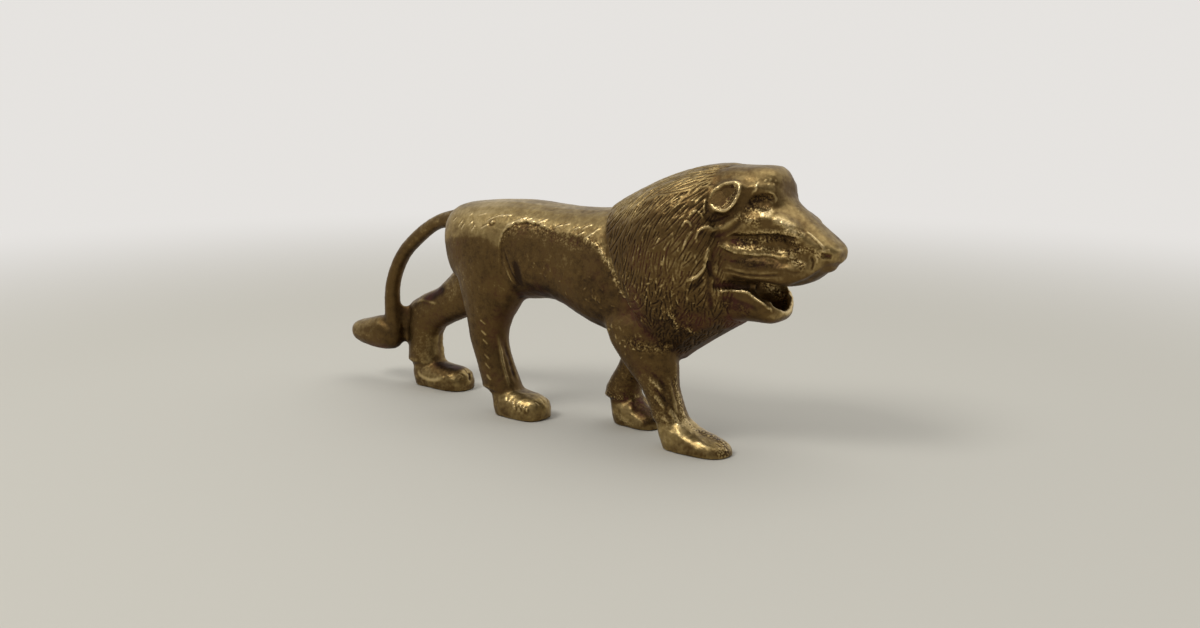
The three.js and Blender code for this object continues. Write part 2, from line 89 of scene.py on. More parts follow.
def paint(name, description, default):
    return bpy.props.FloatVectorProperty(
        name=name, description=description, subtype="COLOR", size=4, default=(*default, 1.0), min=0, max=1)


class LionColours(bpy.types.PropertyGroup):
    """Colours of the metal and of the stage"""
    # The polished and the worn brass also colour the painted highlights
    polished_and_highlight: paint("Polished", "Brass where hands and edges rub it bright", (0.72, 0.545, 0.27))
    worn: paint("Worn", "Brass that hands keep half bright", (0.4, 0.285, 0.115))
    tarnished: paint("Tarnished", "Brass that has dulled to brown olive", (0.14, 0.084, 0.03))
    # The dark patina colour also gives the painted shade
    patina_and_shade: paint("Patina", "Dark patina in the recesses", (0.042, 0.024, 0.013))
    red_tint: paint("Red tint", "Reddish patches in the patina", (0.098, 0.038, 0.026))
    floor: paint("Floor", "Floor under the lion", (0.6, 0.575, 0.5))
    backdrop: paint("Backdrop", "Background behind the lion", (0.79, 0.77, 0.745))


def sizes():
    return bpy.context.scene.lion_sizes


def colours():
    return bpy.context.scene.lion_colours


def placed(name, data):
    """A new object in the scene"""
    obj = bpy.data.objects.new(name, data)
    bpy.context.scene.collection.objects.link(obj)
    return obj


def aim(obj, place, way):
    """Puts a lamp or the camera at a place, looking along a direction"""
    obj.location = place
    obj.rotation_mode = "QUATERNION"
    obj.rotation_quaternion = way.to_track_quat("-Z", "Y")


# A mesh as arrays
def read_all(items, key, kind, width):
    values = np.empty(len(items) * width, kind)
    items.foreach_get(key, values)
    return values.reshape(-1, width)


def read_mesh(mesh):
    if len(mesh.loops) != 4 * len(mesh.polygons):
        raise RuntimeError("the skin isn't all quads")
    return (read_all(mesh.vertices, "co", np.float32, 3).astype(float),
            read_all(mesh.edges, "vertices", np.int32, 2),
            read_all(mesh.loops, "vertex_index", np.int32, 1).reshape(-1, 4))


def spread(count, at, values):
    """Sums values at the given vertices"""
    return np.stack([np.bincount(at, values[:, k], count) for k in range(values.shape[1])], 1)


def normals_of(co, quads):
    face = np.cross(co[quads[:, 2]] - co[quads[:, 0]], co[quads[:, 3]] - co[quads[:, 1]])
    total = sum(spread(len(co), quads[:, k], face) for k in range(4))
    return total / np.maximum(np.linalg.norm(total, axis=1, keepdims=True), 1e-12)


def averaged(values, edges):
    """Each vertex's mean of its neighbours"""
    a, b = edges[:, 0], edges[:, 1]
    count = np.bincount(a, minlength=len(values)) + np.bincount(b, minlength=len(values))
    total = spread(len(values), a, values[b]) + spread(len(values), b, values[a])
    return total / np.maximum(count, 1)[:, None]


def relaxed(co, edges, rounds, weight=1.0, hold=True):
    """Smooths the skin. With hold the forms keep their size."""
    co = co.copy()
    for _ in range(rounds):
        for pull in ((0.5, -0.52) if hold else (0.5,)):
            co += pull * weight * (averaged(co, edges) - co)
    return co


def mesh_of(name, co, faces):
    mesh = bpy.data.meshes.new(name)
    mesh.from_pydata(co.tolist(), [], faces.tolist())
    return mesh


def voxel_skin(mesh, cell):
    """A closed skin round a mesh, its largest shell only"""
    obj = placed("skin", mesh)
    modifier = obj.modifiers.new("cells", "REMESH")
    modifier.mode = "VOXEL"
    modifier.voxel_size = cell
    graph = bpy.context.evaluated_depsgraph_get()
    made = bpy.data.meshes.new_from_object(obj.evaluated_get(graph))
    bpy.data.objects.remove(obj)
    bpy.data.meshes.remove(mesh)
    co, edges, quads = read_mesh(made)
    bpy.data.meshes.remove(made)
    return largest_shell(co, edges, quads)


def joined_up(count, groups):
    """Numbers the vertices so that those that hang together through the groups share a number"""
    label = np.arange(count)
    while True:
        low = label[groups].min(1)
        new = label.copy()
        for k in range(groups.shape[1]):
            np.minimum.at(new, groups[:, k], low)
        new = new[new]
        if (new == label).all():
            return label
        label = new


def largest_shell(co, edges, quads):
    label = joined_up(len(co), edges)
    keep = label == np.bincount(label).argmax()
    index = np.cumsum(keep) - 1
    return co[keep], index[edges[keep[edges[:, 0]]]], index[quads[keep[quads[:, 0]]]]


def set_metal(co, edges, quads):
    metal.co, metal.edges, metal.quads = co, edges, quads
    renew_normals()
    if len(metal.tone) != len(co):
        metal.tone, metal.grain = np.zeros(len(co)), np.zeros(len(co))
    metal.tree = BVHTree.FromPolygons(co.tolist(), quads.tolist())


def renew_normals():
    metal.normal = normals_of(metal.co, metal.quads)


# Hand tools
def path_through(points, step=0.3):
    """Points close together on a smooth curve through the given ones"""
    p = np.array(points, float)
    ends = np.vstack([2 * p[0] - p[1], p, 2 * p[-1] - p[-2]])
    rows = []
    for k in range(len(p) - 1):
        a, b, c, d = ends[k:k + 4]
        n = max(1, int(np.linalg.norm(c - b) / step))
        for t in np.arange(n) / n:
            rows.append(0.5 * (2 * b + (c - a) * t + (2 * a - 5 * b + 4 * c - d) * t * t
                               + (3 * b - a - 3 * c + d) * t ** 3))
    rows.append(p[-1])
    return np.array(rows)


def on_surface(points):
    return np.array([metal.tree.find_nearest(Vector(p))[0] for p in points])


def stroke(points, width, height, ends=0, rub_and_painted_light=0, grain=0, left=1, form="round"):
    """Raises or sinks the metal along a path on the right side, and on the left side by the share left"""
    for side, share in ((1, 1), (-1, left)):
        if share:
            path = on_surface(path_through(np.array(points) * (1, side, 1)))
            press(path, width, height * share, ends, rub_and_painted_light, grain, form)


def press(path, width, height, ends=0, rub_and_painted_light=0, grain=0, form="round"):
    """Raises or sinks the metal along a path that lies on it. width is the whole width; ends fades the height
    out over that share of the path at each end; rub brightens the metal there, and darkens it when negative,
    which is wear on some marks and painted highlight and painted shade on others; grain roughens it."""
    co, half = metal.co, width / 2
    near = np.flatnonzero(((co > path.min(0) - half) & (co < path.max(0) + half)).all(1))
    p = co[near]
    best = np.full(len(near), 1e9)
    along = np.zeros(len(near))
    segments = len(path) - 1
    for k in range(segments):
        a = path[k]
        v = path[k + 1] - a
        t = np.clip((p - a) @ v / max(v @ v, 1e-12), 0, 1)
        d = np.linalg.norm(p - a - t[:, None] * v, axis=1)
        closer = d < best
        best[closer] = d[closer]
        along[closer] = (k + t[closer]) / segments
    hit = best < half
    near, d, along = near[hit], best[hit] / half, along[hit]
    if form == "round":
        shape = 0.5 + 0.5 * np.cos(math.pi * d)
    elif form == "vee":
        shape = (1 - d) ** 1.3
    else:
        shape = np.clip(3 * (1 - d), 0, 1)
        shape = shape * shape * (3 - 2 * shape)
    if ends:
        fade = np.clip(np.minimum(along, 1 - along) / ends, 0, 1)
        shape = shape * fade * (2 - fade)
    co[near] += metal.normal[near] * (height * shape)[:, None]
    metal.tone[near] += rub_and_painted_light * shape
    metal.grain[near] += grain * shape


def work(marks):
    for mark in marks:
        stroke(*mark)


def ramp(values, low, high):
    """0 below low, 1 above high, and a smooth rise between them"""
    t = np.clip((values - low) / (high - low), 0, 1)
    return t * t * (3 - 2 * t)


def field(scale, seed, points=None):
    """Even noise from -1 to 1 at each vertex"""
    points = metal.co if points is None else points
    shift = Vector((seed * 17.3, seed * 5.1, seed * 9.7))
    return np.array([noise.noise(Vector(p) / scale + shift) for p in points])


def whole_skin(swell, cell):
    """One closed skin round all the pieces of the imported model, in millimetres"""
    bm = bmesh.new()
    for name in PIECES:
        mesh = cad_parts[name].data.copy()
        mesh.transform(Matrix.Scale(MM, 4))
        part = bmesh.new()
        part.from_mesh(mesh)
        bmesh.ops.remove_doubles(part, verts=part.verts, dist=1e-4)
        part.normal_update()
        for vert in part.verts:
            vert.co += vert.normal * swell
        part.to_mesh(mesh)
        part.free()
        bm.from_mesh(mesh)
        bpy.data.meshes.remove(mesh)
    mesh = bpy.data.meshes.new("pieces")
    bm.to_mesh(mesh)
    bm.free()
    return voxel_skin(mesh, cell)


class LION_OT_pour_blank(bpy.types.Operator):
    """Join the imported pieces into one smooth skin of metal"""
    bl_idname = "lion.pour_blank"
    bl_label = "Pour the blank"

    def execute(self, context):
        swell = sizes().swell
        co, edges, quads = whole_skin(swell, sizes().blank_cell)
        soles = co[:, 2] < SOLE
        weight = np.where(co[:, 2] < PAW_TOP, 0.6, 1.0)[:, None]
        co = relaxed(co, edges, 14, weight)
        co -= swell * normals_of(co, quads)
        co[soles, 2] = np.maximum(co[soles, 2], 0)
        # The thighs flow into the rump
        centre, reach = (-13, 0, 28.5), (9, 99, 7)
        thigh = np.linalg.norm((co - centre) / reach, axis=1) < 1
        weight = np.where(thigh & (np.abs(co[:, 1]) > 5.5), 1.0, 0.0)[:, None]
        co = relaxed(co, edges, 40, averaged(averaged(weight, edges), edges), hold=False)
        set_metal(co, edges, quads)
        return {"FINISHED"}


# The large forms of the head. A mark is the path, width, height, ends, brightening, grain, left and form of a
# stroke, in that order, and may stop early. The brightening, a darkening when negative, is wear on some marks
# and painted highlight and painted shade on others.
HEAD_FORMS = (
    # The eye's scoop under the shelf of the brow
    ([(39.4, -5.5, 43.2), (41, -4.9, 43.5), (42.6, -4.1, 43.2)], 2.6, 0.35),
    # The round slope of the cheekbone
    ([(40.2, -5.6, 38.6), (42.2, -5.3, 39), (44.3, -4.8, 38.6), (46.4, -4.2, 37.8)], 3.8, 0.4),
    # The recess between the cheekbone and the lip is one long hollow
    ([(36.6, -6, 35.6), (39.4, -5.4, 35.9), (42.2, -5.2, 36.2), (45, -4.8, 36.3),
      (47.6, -4.2, 36.2)], 1.8, -0.4, 0.15),
    ([(44.4, -4.2, 35.8), (44.8, -4.1, 34.9), (45, -4, 34.1)], 2.8, -0.5),
    ([(35.4, -7, 34.7), (37.3, -5.9, 33.9), (38.6, -5.6, 33.5), (41.1, -5, 33.5), (43.5, -4.4, 33.3),
      (45.6, -4.1, 32.9)], 1.8, 0.35, 0.1),
    # The lower front of the muzzle is lean, and the roll of the lip hangs low
    ([(46.4, -2.6, 30.4), (48.6, -2.3, 31), (50.4, -2, 32.2)], 3.2, -0.4),
    ([(36.4, -6.6, 32.8), (38.6, -5.9, 32.6), (41.4, -5.2, 32.5), (44.4, -4.5, 32.4)], 1.6, 0.25, 0.2),
    # The nose is round, blunt below its tip
    ([(51.9, -1.4, 33.2), (52.2, 0, 33)], 2.2, 0.2),
    ([(50.4, -1.6, 32.2), (50.8, 0, 32)], 3.2, 0.3),
    ([(52.6, -1.2, 35), (52.9, 0, 35)], 1.4, -0.15),
    # The lip at the front of the jaw is thick
    ([(42.6, 1.8, 27.6), (43.3, 1, 26.6), (43.6, 0, 25.6), (43.3, -1.4, 24.7),
      (42.7, -2.6, 24.1)], 1.9, 0.35, 0.15, 0, 0, 0),
    # Sunken web of the cheek behind the open mouth
    ([(35, -7, 28.2), (36.6, -4.9, 28.1), (38.8, -4, 28)], 1.8, -0.5),
)


class LION_OT_shape_head(bpy.types.Operator):
    """Press the brows, cheeks, lips and jaw into the blank"""
    bl_idname = "lion.shape_head"
    bl_label = "Shape the head"

    def execute(self, context):
        work(HEAD_FORMS)
        set_metal(metal.co, metal.edges, metal.quads)
        return {"FINISHED"}


class LION_OT_refine_skin(bpy.types.Operator):
    """Cut the skin into fine cells for the detail"""
    bl_idname = "lion.refine_skin"
    bl_label = "Refine the skin"

    def execute(self, context):
        cell = sizes().fine_cell
        co = relaxed(metal.co, metal.edges, 3)
        co, edges, quads = voxel_skin(mesh_of("skin", co, metal.quads), cell)
        co = relaxed(co, edges, 4)
        set_metal(co, edges, quads)
        metal.piece = nearest_pieces(co)
        return {"FINISHED"}


def nearest_pieces(points):
    """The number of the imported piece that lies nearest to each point"""
    verts, faces, owner = [], [], []
    for number, name in enumerate(PIECES):
        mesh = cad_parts[name].data
        start = len(verts)
        verts += [v.co * MM for v in mesh.vertices]
        faces += [[start + i for i in p.vertices] for p in mesh.polygons]
        owner += [number] * len(mesh.polygons)
    tree = BVHTree.FromPolygons(verts, faces)
    return np.array([owner[tree.find_nearest(Vector(p))[2]] for p in points])


def belongs_to(*names):
    """Whether each vertex belongs to one of the named pieces"""
    return np.isin(metal.piece, [PIECES.index(name) for name in names])


BROW_NICKS = ((42, -4.6, 44.9), (42.8, -4, 45), (43.5, -3.3, 44.8), (43.2, -3.6, 44.2), (42.4, -4.3, 44.1))
LIP_LINES = (
    (37.2, 32, 1.2), (39.4, 32.6, 1), (41.6, 31.8, 1.3), (38.4, 31.1, 1.1), (36.6, 30.6, 0.9),
    (42.6, 32.5, 0.8), (40.2, 31, 1),
)
FACE_MARKS = (
    # Ears: a thin bright rim about a wide rough cup
    ([(33.9, -7.3, 41.5), (34.5, -7.6, 40.4), (35.5, -7.75, 40), (36.8, -7.7, 40.1), (37.7, -7.5, 40.8),
      (38.2, -7.2, 41.7), (38.6, -6.8, 42.8), (38.3, -6.5, 44), (37, -6.4, 44.3), (35.7, -6.5, 43.9),
      (34.9, -6.6, 43.4), (34.1, -6.8, 42.7), (33.9, -7.3, 41.5)], 0.8, 0.05, 0, 0.6),
    ([(35.3, -6.8, 40.9), (36.4, -6.5, 41.8), (37.4, -6.3, 42.8)], 3, 0, 0, 0.18, 1, 1, "flat"),
    # A cord of metal curves under each ear towards the mane
    ([(33.4, -8.2, 38.9), (34.2, -7.9, 38.3), (35.6, -7.3, 38.3), (37.2, -6.7, 39)], 0.8, -0.14, 0.3, -0.15),
    ([(33.4, -8.8, 37.2), (34.6, -7.9, 36.9), (36, -7, 37.3), (37.8, -6.5, 38.6),
      (38.9, -6.1, 40)], 1.5, 0.24, 0.3, 0.12),
    ([(34, -8.2, 36), (35.4, -6.9, 35.9), (37.2, -6.3, 36.9), (39, -6, 38.6)], 1.1, -0.16, 0.3, -0.2),
    # Brow: a spike of metal on it and the thin bright lid at the outer end of the scoop
    ([(40.4, -5.1, 42.8), (40.6, -4.9, 43.5), (40.7, -4.6, 44.3)], 0.55, 0.16, 0.4, 0.6, 0, 0.3),
    ([(40.3, -5.1, 43.2), (40.1, -5.2, 42.6), (39.8, -5.3, 42.2)], 0.7, 0.08, 0.4, 0.25, 0, 0.3),
    ([(42.2, -4.3, 42.8), (42.9, -3.8, 42.5), (43.3, -3.5, 41.8), (43, -3.7, 41.1)], 0.5, 0.1, 0.3, 0.5),
    ([(40.2, -5.2, 41.3), (41.3, -4.7, 41.8), (42.4, -4.1, 41.9)], 2.2, -0.28, 0, -0.35, 1),
    ([(39.5, -5.7, 40.2), (41, -5.3, 40.4), (42.5, -4.8, 40.6)], 2.2, 0, 0, 0, 1),
    ([(38.2, -6, 39), (39.6, -5.7, 38.6), (41.2, -5.5, 38.3)], 2.4, 0, 0, 0.05, 0.8),
    # Cheekbone with a painted highlight where it stands out, and the soft dark line under it, filled and lifted with
    # painted light
    ([(41.3, -5.4, 39.4), (42.4, -5.1, 39.7), (43.5, -4.8, 39.4)], 2.8, 0.05, 0.4, 1.1, 0.6),
    ([(43.4, -4.8, 39.1), (45.2, -4.6, 38.2), (47, -4, 37.5)], 2.3, 0.05, 0.4, 0.85, 0.6),
    # Painted light that lifts the shade in the crease under the cheekbone
    ([(37.4, -5.8, 36.1), (39.8, -5.4, 36.3), (42.4, -5.3, 36.6), (44.8, -5, 36.8), (47, -4.5, 36.8),
      (48.6, -3.6, 36.5)], 2, 0.22, 0.2, 0.42, 0.9),
    # Rough bright nicks on the brow
    *(([(x - 0.3, y, z - 0.35), (x, y, z), (x + 0.2, y, z + 0.4)], 0.45, 0.07, 0.4, 0.35, 0, 0.5)
      for x, y, z in BROW_NICKS),
    # The recess: pitted, with painted shade above, under the cheekbone, and lighter below; deeper painted shade at
    # its back end darkens a highlight on its floor
    ([(36.8, -5.9, 35.2), (39.4, -5.3, 35.3), (42.4, -4.8, 35.5), (45.2, -4.3, 35.6),
      (48, -3.9, 35.4)], 1.9, 0, 0.1, -0.16, 1),
    ([(37.2, -5.8, 34.3), (39.8, -4.9, 34.1), (42.4, -4.2, 34.1), (45.2, -4, 34),
      (48.2, -3.8, 34.2)], 1.5, 0, 0.1, 0.06, 1),
    ([(36.4, -6, 34.9), (38, -5.5, 34.9), (39.6, -5.2, 34.8)], 2.2, 0, 0.3, -0.5, 0.3),
    # Ridge of the lip, with a painted highlight brightest in its middle, and the strip under it dulled with painted
    # shade
    ([(35, -7.1, 34.7), (36, -6.3, 34.2), (37.3, -5.9, 33.6), (38.6, -5.5, 33.3)], 0.7, 0.08, 0.3, 0.15, 0.6),
    ([(38.2, -5.6, 33.4), (39.8, -5.2, 33.4), (41.1, -4.8, 33.3), (42.3, -4.4, 33.4), (43.5, -4, 33.1),
      (44.6, -3.9, 32.8)], 0.55, 0.12, 0.25, 0.45, 0.5),
    ([(35.8, -6.8, 32.4), (38.6, -5.9, 32.1), (41.4, -5.3, 32), (45.4, -4.4, 31.9)], 2.8, -0.03, 0.2, -0.5, 0.3),
    *(([(x - long, -6, z + 0.1), (x, -6, z), (x + long, -5, z + 0.15)], 0.5, -0.05, 0.4, -0.14)
      for x, z, long in LIP_LINES),
    ([(36, -6.6, 30.5), (38.8, -5.9, 30.1), (42, -5.3, 30.1), (45.4, -4.7, 30.6)], 0.8, -0.16, 0.3, -0.2),
    ([(38.9, -5.8, 31.5), (40.2, -5.6, 31.4), (41.6, -5.4, 31.7)], 0.5, -0.06, 0.4, -0.15),
    ([(45.4, -4.6, 31.4), (46.8, -4.3, 31), (48, -4, 31.2)], 0.6, -0.07, 0.4, -0.12),
    # Sharp edge of the nose bridge, the nostril and the fold behind it
    ([(48.2, -3.1, 37.2), (49.5, -3, 36.3), (50.6, -3, 35.4), (51.3, -2.9, 34.5)], 0.6, 0.18, 0.2, 0.55, 0, 0.5),
    ([(50.4, -3.2, 34.6), (51.2, -3, 34.4), (52, -2.6, 34.6)], 0.6, 0.1, 0.3, 0.4, 0.5, 0.4),
    ([(50.7, -3.1, 33.9), (51.4, -2.9, 33.7), (52.2, -2.3, 33.6)], 1.3, -0.28, 0.2, -0.3, 0.4),
    ([(51.4, -1.8, 36.6), (52.6, -1.4, 35.4)], 2.6, 0, 0, -0.14),
    ([(49.3, -3.7, 33.6), (49.7, -3.6, 32.6), (49.5, -3.6, 31.5)], 0.6, -0.2, 0.25, -0.1),
    ([(49.8, -3.6, 33.9), (50.3, -3.5, 33.2), (50.2, -3.5, 32.5)], 0.5, 0.12, 0.3, 0.35),
    ([(47, -3.9, 34.6), (49, -3.4, 34.6), (50.6, -3.1, 33.8)], 1.8, 0, 0, 0.1, 0.8),
    ([(45.4, -4, 33.4), (47, -3.8, 32.6), (48.6, -3.9, 31.6)], 2.2, 0, 0.2, 0.08, 1),
    # The far wall of the mouth is rough and half bright
    ([(38, 2.6, 27.4), (40.2, 2.3, 26.6), (42, 1.6, 26)], 3, 0, 0, 0.3, 1, 0),
    ([(42.7, 1.6, 27.6), (43, 1, 26.4), (42.8, 0.2, 25.4), (42.4, -1.2, 24.6)], 2.8, 0, 0, 0.8, 0.5, 0),
    # Corner of the mouth and the web behind it, sunk and darkened with painted shade
    ([(34.1, -8.1, 31.8), (34.5, -7.7, 30.3), (35.2, -6.9, 29)], 1.5, -0.25, 0, -0.4),
    ([(35.1, -6.9, 28.1), (36.6, -4.9, 28), (38.8, -3.9, 27.9)], 1.4, -0.1, 0, -0.5),
    # Jaw: a bright rim on the near side
    ([(35.3, -6.5, 27.2), (36.3, -5.3, 27.4), (37.5, -4.6, 27.4), (39.2, -4.5, 27.3), (40.1, -4.3, 26.7),
      (41.8, -4.1, 25.6), (43, -3.3, 24.4)], 0.8, 0.14, 0.1, 0.6, 0.8),
    ([(35.5, -6.2, 25.9), (37.4, -5.2, 25.6), (39.4, -4.8, 25.2), (41, -4.4, 24.4)], 1.3, -0.12, 0.2, -0.2),
    ([(42.7, -3.4, 23.7), (43.5, -2, 23.2)], 1.8, 0, 0, 0.3),
    ([(35.4, -6, 25.4), (37.4, -5.2, 24.6), (39.6, -4.4, 23.6)], 3.2, 0, 0.2, -0.42, 0.6),
    # The groove between the face and the mane is deep only in its lower half, and darkened along it with painted
    # shade
    ([(35, -7.2, 34.4), (34.8, -7.6, 32.4), (34.4, -7.9, 30.4), (34.2, -7.9, 28.5), (34.1, -7.4, 26.2),
      (34, -6.3, 23.9)], 1.5, -0.22, 0.15, -0.3),
)


class LION_OT_carve_face(bpy.types.Operator):
    """Carve the ears, eyes, nose, lips and jaw"""
    bl_idname = "lion.carve_face"
    bl_label = "Carve the face"

    def execute(self, context):
        work(FACE_MARKS)
        renew_normals()
        return {"FINISHED"}


# The mane's face is at MANE_FRONT and its crown at MANE_TOP, and the lay of the hair turns over MANE_DEPTH
MANE_FRONT, MANE_TOP, MANE_DEPTH = 35, 41, 20
HAIR_TRIES, HAIR_STEP, LOCKS = 30000, 0.35, 190
MANE_MARKS = (
    # Curls behind and below the ear
    *((curl, 0.7, 0.22, 0.2, 0.45) for curl in (
        [(33.1, -7.4, 41.5), (33.2, -7.9, 40.4), (33.4, -8.2, 39.2)],
        [(31.3, -9.5, 38.4), (31.6, -9.3, 39.2), (32.3, -8.9, 39.7), (33, -8.5, 39.3), (33.3, -8.4, 38.5)],
        [(32.7, -9.2, 34.8), (32.7, -9.2, 35.9), (33.1, -8.8, 36.9), (34, -8, 37.3), (34.7, -7.3, 36.9)],
        [(30.4, -9.9, 37.2), (30.9, -9.7, 38), (31.6, -9.4, 37.9), (31.8, -9.3, 37.1)],
        [(31, -9.9, 34.3), (31.3, -9.8, 35.6), (32.1, -9.4, 36.7)],
    )),
    # The bright edge of the lock at the corner of the mouth
    ([(34.2, -7.9, 34.4), (34, -8.3, 33), (33.9, -8.5, 31.6), (33.2, -8.9, 30.2), (32.2, -9.2, 29.3),
      (31, -9.4, 29)], 1, 0.25, 0.2, 0.55),
    # Two locks on the breast that stand out
    ([(27.4, -9.5, 24.2), (28, -8.9, 23), (28.2, -8, 21.6), (28, -6.6, 20)], 1.5, 0.14, 0.3, 0.3, 1, 0.6),
    ([(28.8, -7.6, 21.6), (29.6, -6.2, 20.6), (30.4, -4.6, 19.4)], 1.4, 0.12, 0.3, 0.45, 1, 0.6),
    # Painted shade in the hollow under the bright lock at the corner of the mouth
    ([(33.6, -8.4, 29.4), (32.6, -8.9, 28.2), (31.2, -9.2, 27.6)], 1.6, -0.3, 0.3, -0.3),
)


class LION_OT_comb_mane(bpy.types.Operator):
    """Comb strokes of hair into the mane"""
    bl_idname = "lion.comb_mane"
    bl_label = "Comb the mane"

    def execute(self, context):
        rng = np.random.default_rng(sizes().seed)
        skin = np.flatnonzero(belongs_to("mane"))
        co, normal = metal.co.copy(), metal.normal.copy()
        # The middle of the back of the neck and of the chest is filed smooth
        middle = (np.abs(co[skin, 1]) < 2.2) & (np.abs(normal[skin, 2]) > 0.45)
        skin = skin[~middle]
        tree, gap = metal.tree, sizes().hair_gap
        owner = metal.piece[metal.quads[:, 0]]
        mane = PIECES.index("mane")
        lay_shift = field(4.5, 3, co[skin])
        taken = {}
        for k in rng.permutation(len(skin))[:HAIR_TRIES]:
            start = co[skin[k]]
            if crowded(taken, start, gap):
                continue
            back = np.clip((MANE_FRONT - start[0]) / MANE_DEPTH, 0, 1)
            low = np.clip((MANE_TOP - start[2]) / MANE_DEPTH, 0, 1)
            tangle = 0.1 + 0.9 * low ** 1.5 * (1 - 0.6 * back)
            turn = lay_shift[k] * 1.3 * tangle + rng.normal() * 0.25 * tangle
            lean = math.atan2(0.7 + 0.5 * back + 1.1 * low, 0.9 - 0.45 * back - 0.5 * low) + turn
            way = np.array((-math.cos(lean), 0, -math.sin(lean)))
            length = rng.uniform(3, 10) * (1 - 0.72 * low)
            bend = rng.normal() * (0.015 + 0.11 * tangle)
            path, at = [start], start.copy()
            for _ in range(int(length / HAIR_STEP)):
                n = np.array(tree.find_nearest(Vector(at))[1])
                step = way - n * (way @ n)
                size = np.linalg.norm(step)
                if size < 0.15:
                    break
                spot, _, face, _ = tree.find_nearest(Vector(at + HAIR_STEP * step / size))
                at = np.array(spot)
                if owner[face] != mane or crowded(taken, at, 0.55 * gap):
                    break
                path.append(at)
                way = turned(way, bend)
            if len(path) > 3:
                for point in path:
                    taken.setdefault(tuple((point // gap).astype(int)), []).append(point)
                deep = sizes().hair_depth * rng.uniform(0.6, 1.2)
                press(np.array(path), 0.95 * gap, -deep, 0.25, form="vee")
        # Bright ends of locks among the hair: long and thin behind the ear, short and rough below
        for _ in range(LOCKS):
            x, z = rng.uniform(19, 34), rng.uniform(19, 43)
            low = np.clip((MANE_TOP - z) / MANE_DEPTH, 0, 1)
            if rng.uniform() > (1 if z < 29 else 0.45) or (z > 35 and x < 28):
                continue
            lean = math.radians(-130 if z > 35 else -105) + rng.normal() * (0.1 + 0.7 * low)
            way = np.array((math.cos(lean), 0, math.sin(lean))) * rng.uniform(0.4, 1.6 - 0.9 * low)
            for side in (-1, 1):
                lock = on_surface([(x, side * 11, z) + t * way for t in (-1, -0.5, 0, 0.5, 1)])
                if np.isin(owner[[tree.find_nearest(Vector(p))[2] for p in lock]], mane).all():
                    press(lock, 0.5, 0.09, 0.4, rng.uniform(0.0, 0.4), 0.2)
        metal.grain[skin] += 0.2 * ramp(-co[skin, 2], -36, -24)
        work(MANE_MARKS)
        renew_normals()
        return {"FINISHED"}


def crowded(taken, point, gap):
    """Whether a stroke already passes nearer to a point than the gap"""
    x, y, z = (point // sizes().hair_gap).astype(int)
    for i in (x - 1, x, x + 1):
        for j in (y - 1, y, y + 1):
            for k in (z - 1, z, z + 1):
                for other in taken.get((i, j, k), ()):
                    if ((other - point) ** 2).sum() < gap * gap:
                        return True
    return False


def turned(way, angle):
    """A direction turned in the side view"""
    c, s = math.cos(angle), math.sin(angle)
    return np.array((c * way[0] - s * way[2], way[1], s * way[0] + c * way[2]))


# The edge between the bright back and the dull flanks, and the chisel cuts above it, forward and up
BACK_EDGE = (
    (-26, 29.5), (-18.6, 31.2), (-16.8, 31.9), (-14.9, 32.3), (-12.6, 32.3), (-10.7, 31.6), (-9, 30.5),
    (-8.3, 30.8), (-8, 32.3), (-7.3, 33.8), (-6, 34.6), (-4.6, 35.1), (-2.5, 35.3), (-0.3, 35.1),
    (1.4, 34.4), (2.8, 34.5), (5, 33.8), (7.9, 33.5), (10.7, 33), (12.5, 32), (13.9, 30.5), (18, 27),
)
BACK_TICKS = (
    (-16.5, 36.8), (-13.7, 36.8), (-11.4, 35.6), (-18.1, 34.2), (-15.6, 34.4), (-9.8, 36.7), (-8.6, 37),
    (-7.7, 37.2), (-4.5, 36.6), (-3.1, 36.8), (-0.4, 36.2), (-0.1, 36.9), (3.6, 35.7), (5.1, 36.4), (7.4, 35.5),
    (9.4, 36.2), (12.6, 37.2), (8.6, 34.4), (-14.7, 33.5), (-17.3, 33.6), (-20.2, 35.2), (-12.2, 34),
)
SHOULDER_LINE = (
    (9.6, -8, 33.6), (11.6, -8, 33.2), (13.2, -8, 32.2), (14.9, -8, 30.4), (16.2, -8.2, 28.7), (17.3, -8.3, 27),
    (18.2, -8.6, 25.2),
)
SIDE_MARKS = (
    ([(-8.3, -8, 30.9), (-7.6, -8, 29), (-6.9, -8, 27), (-6.1, -8, 25), (-5.3, -8, 23.2)], 0.4, 0.12, 0.3, 0.45),
    ([(-7.6, -8, 30.9), (-6.9, -8, 29), (-6.1, -8, 27), (-5.3, -8, 25), (-4.5, -8, 23.2)], 0.9, -0.14, 0.3, -0.15),
    ([(-4.9, -8, 28.6), (-4.5, -8, 26.2), (-4.6, -7, 23.6)], 2.4, -0.1, 0.3, -0.6),
    # The bright line of the shoulder is rough and broken
    (SHOULDER_LINE, 0.8, 0.06, 0.25, 0.04, 0.5),
    (SHOULDER_LINE, 2.8, 0, 0.3, 0.06, 0.4),
)
CUFF_GROOVE, CUFF_HEM = (4.35, 0.3), (5.1, 0.35)  # height and reach of the step above each paw
SHANK_MARKS = (
    # The front of the right fore shank is rough and bright from the knee down to the toes
    ([(27, -4.4, 12.4), (27.4, -4, 9.6), (28, -4, 7.4), (29, -4.2, 5.2), (30.8, -4.2, 3.6)], 1.8, 0, 0.2, 0.3, 1, 0),
    # The dark top of the left hock with its bright edge
    ([(-36, 1.3, 17), (-34.9, 1.3, 17.4), (-33.3, 1.3, 18.1), (-31.4, 1.3, 19.1),
      (-29.4, 1, 19.9)], 3.2, 0, 0.2, -0.9, 0, 0),
    ([(-37.8, 1.5, 16.2), (-36.1, 1.4, 17), (-33.4, 0.9, 17), (-31.2, 0.7, 16.9)], 0.9, 0.08, 0.3, 0.6, 0, 0),
)
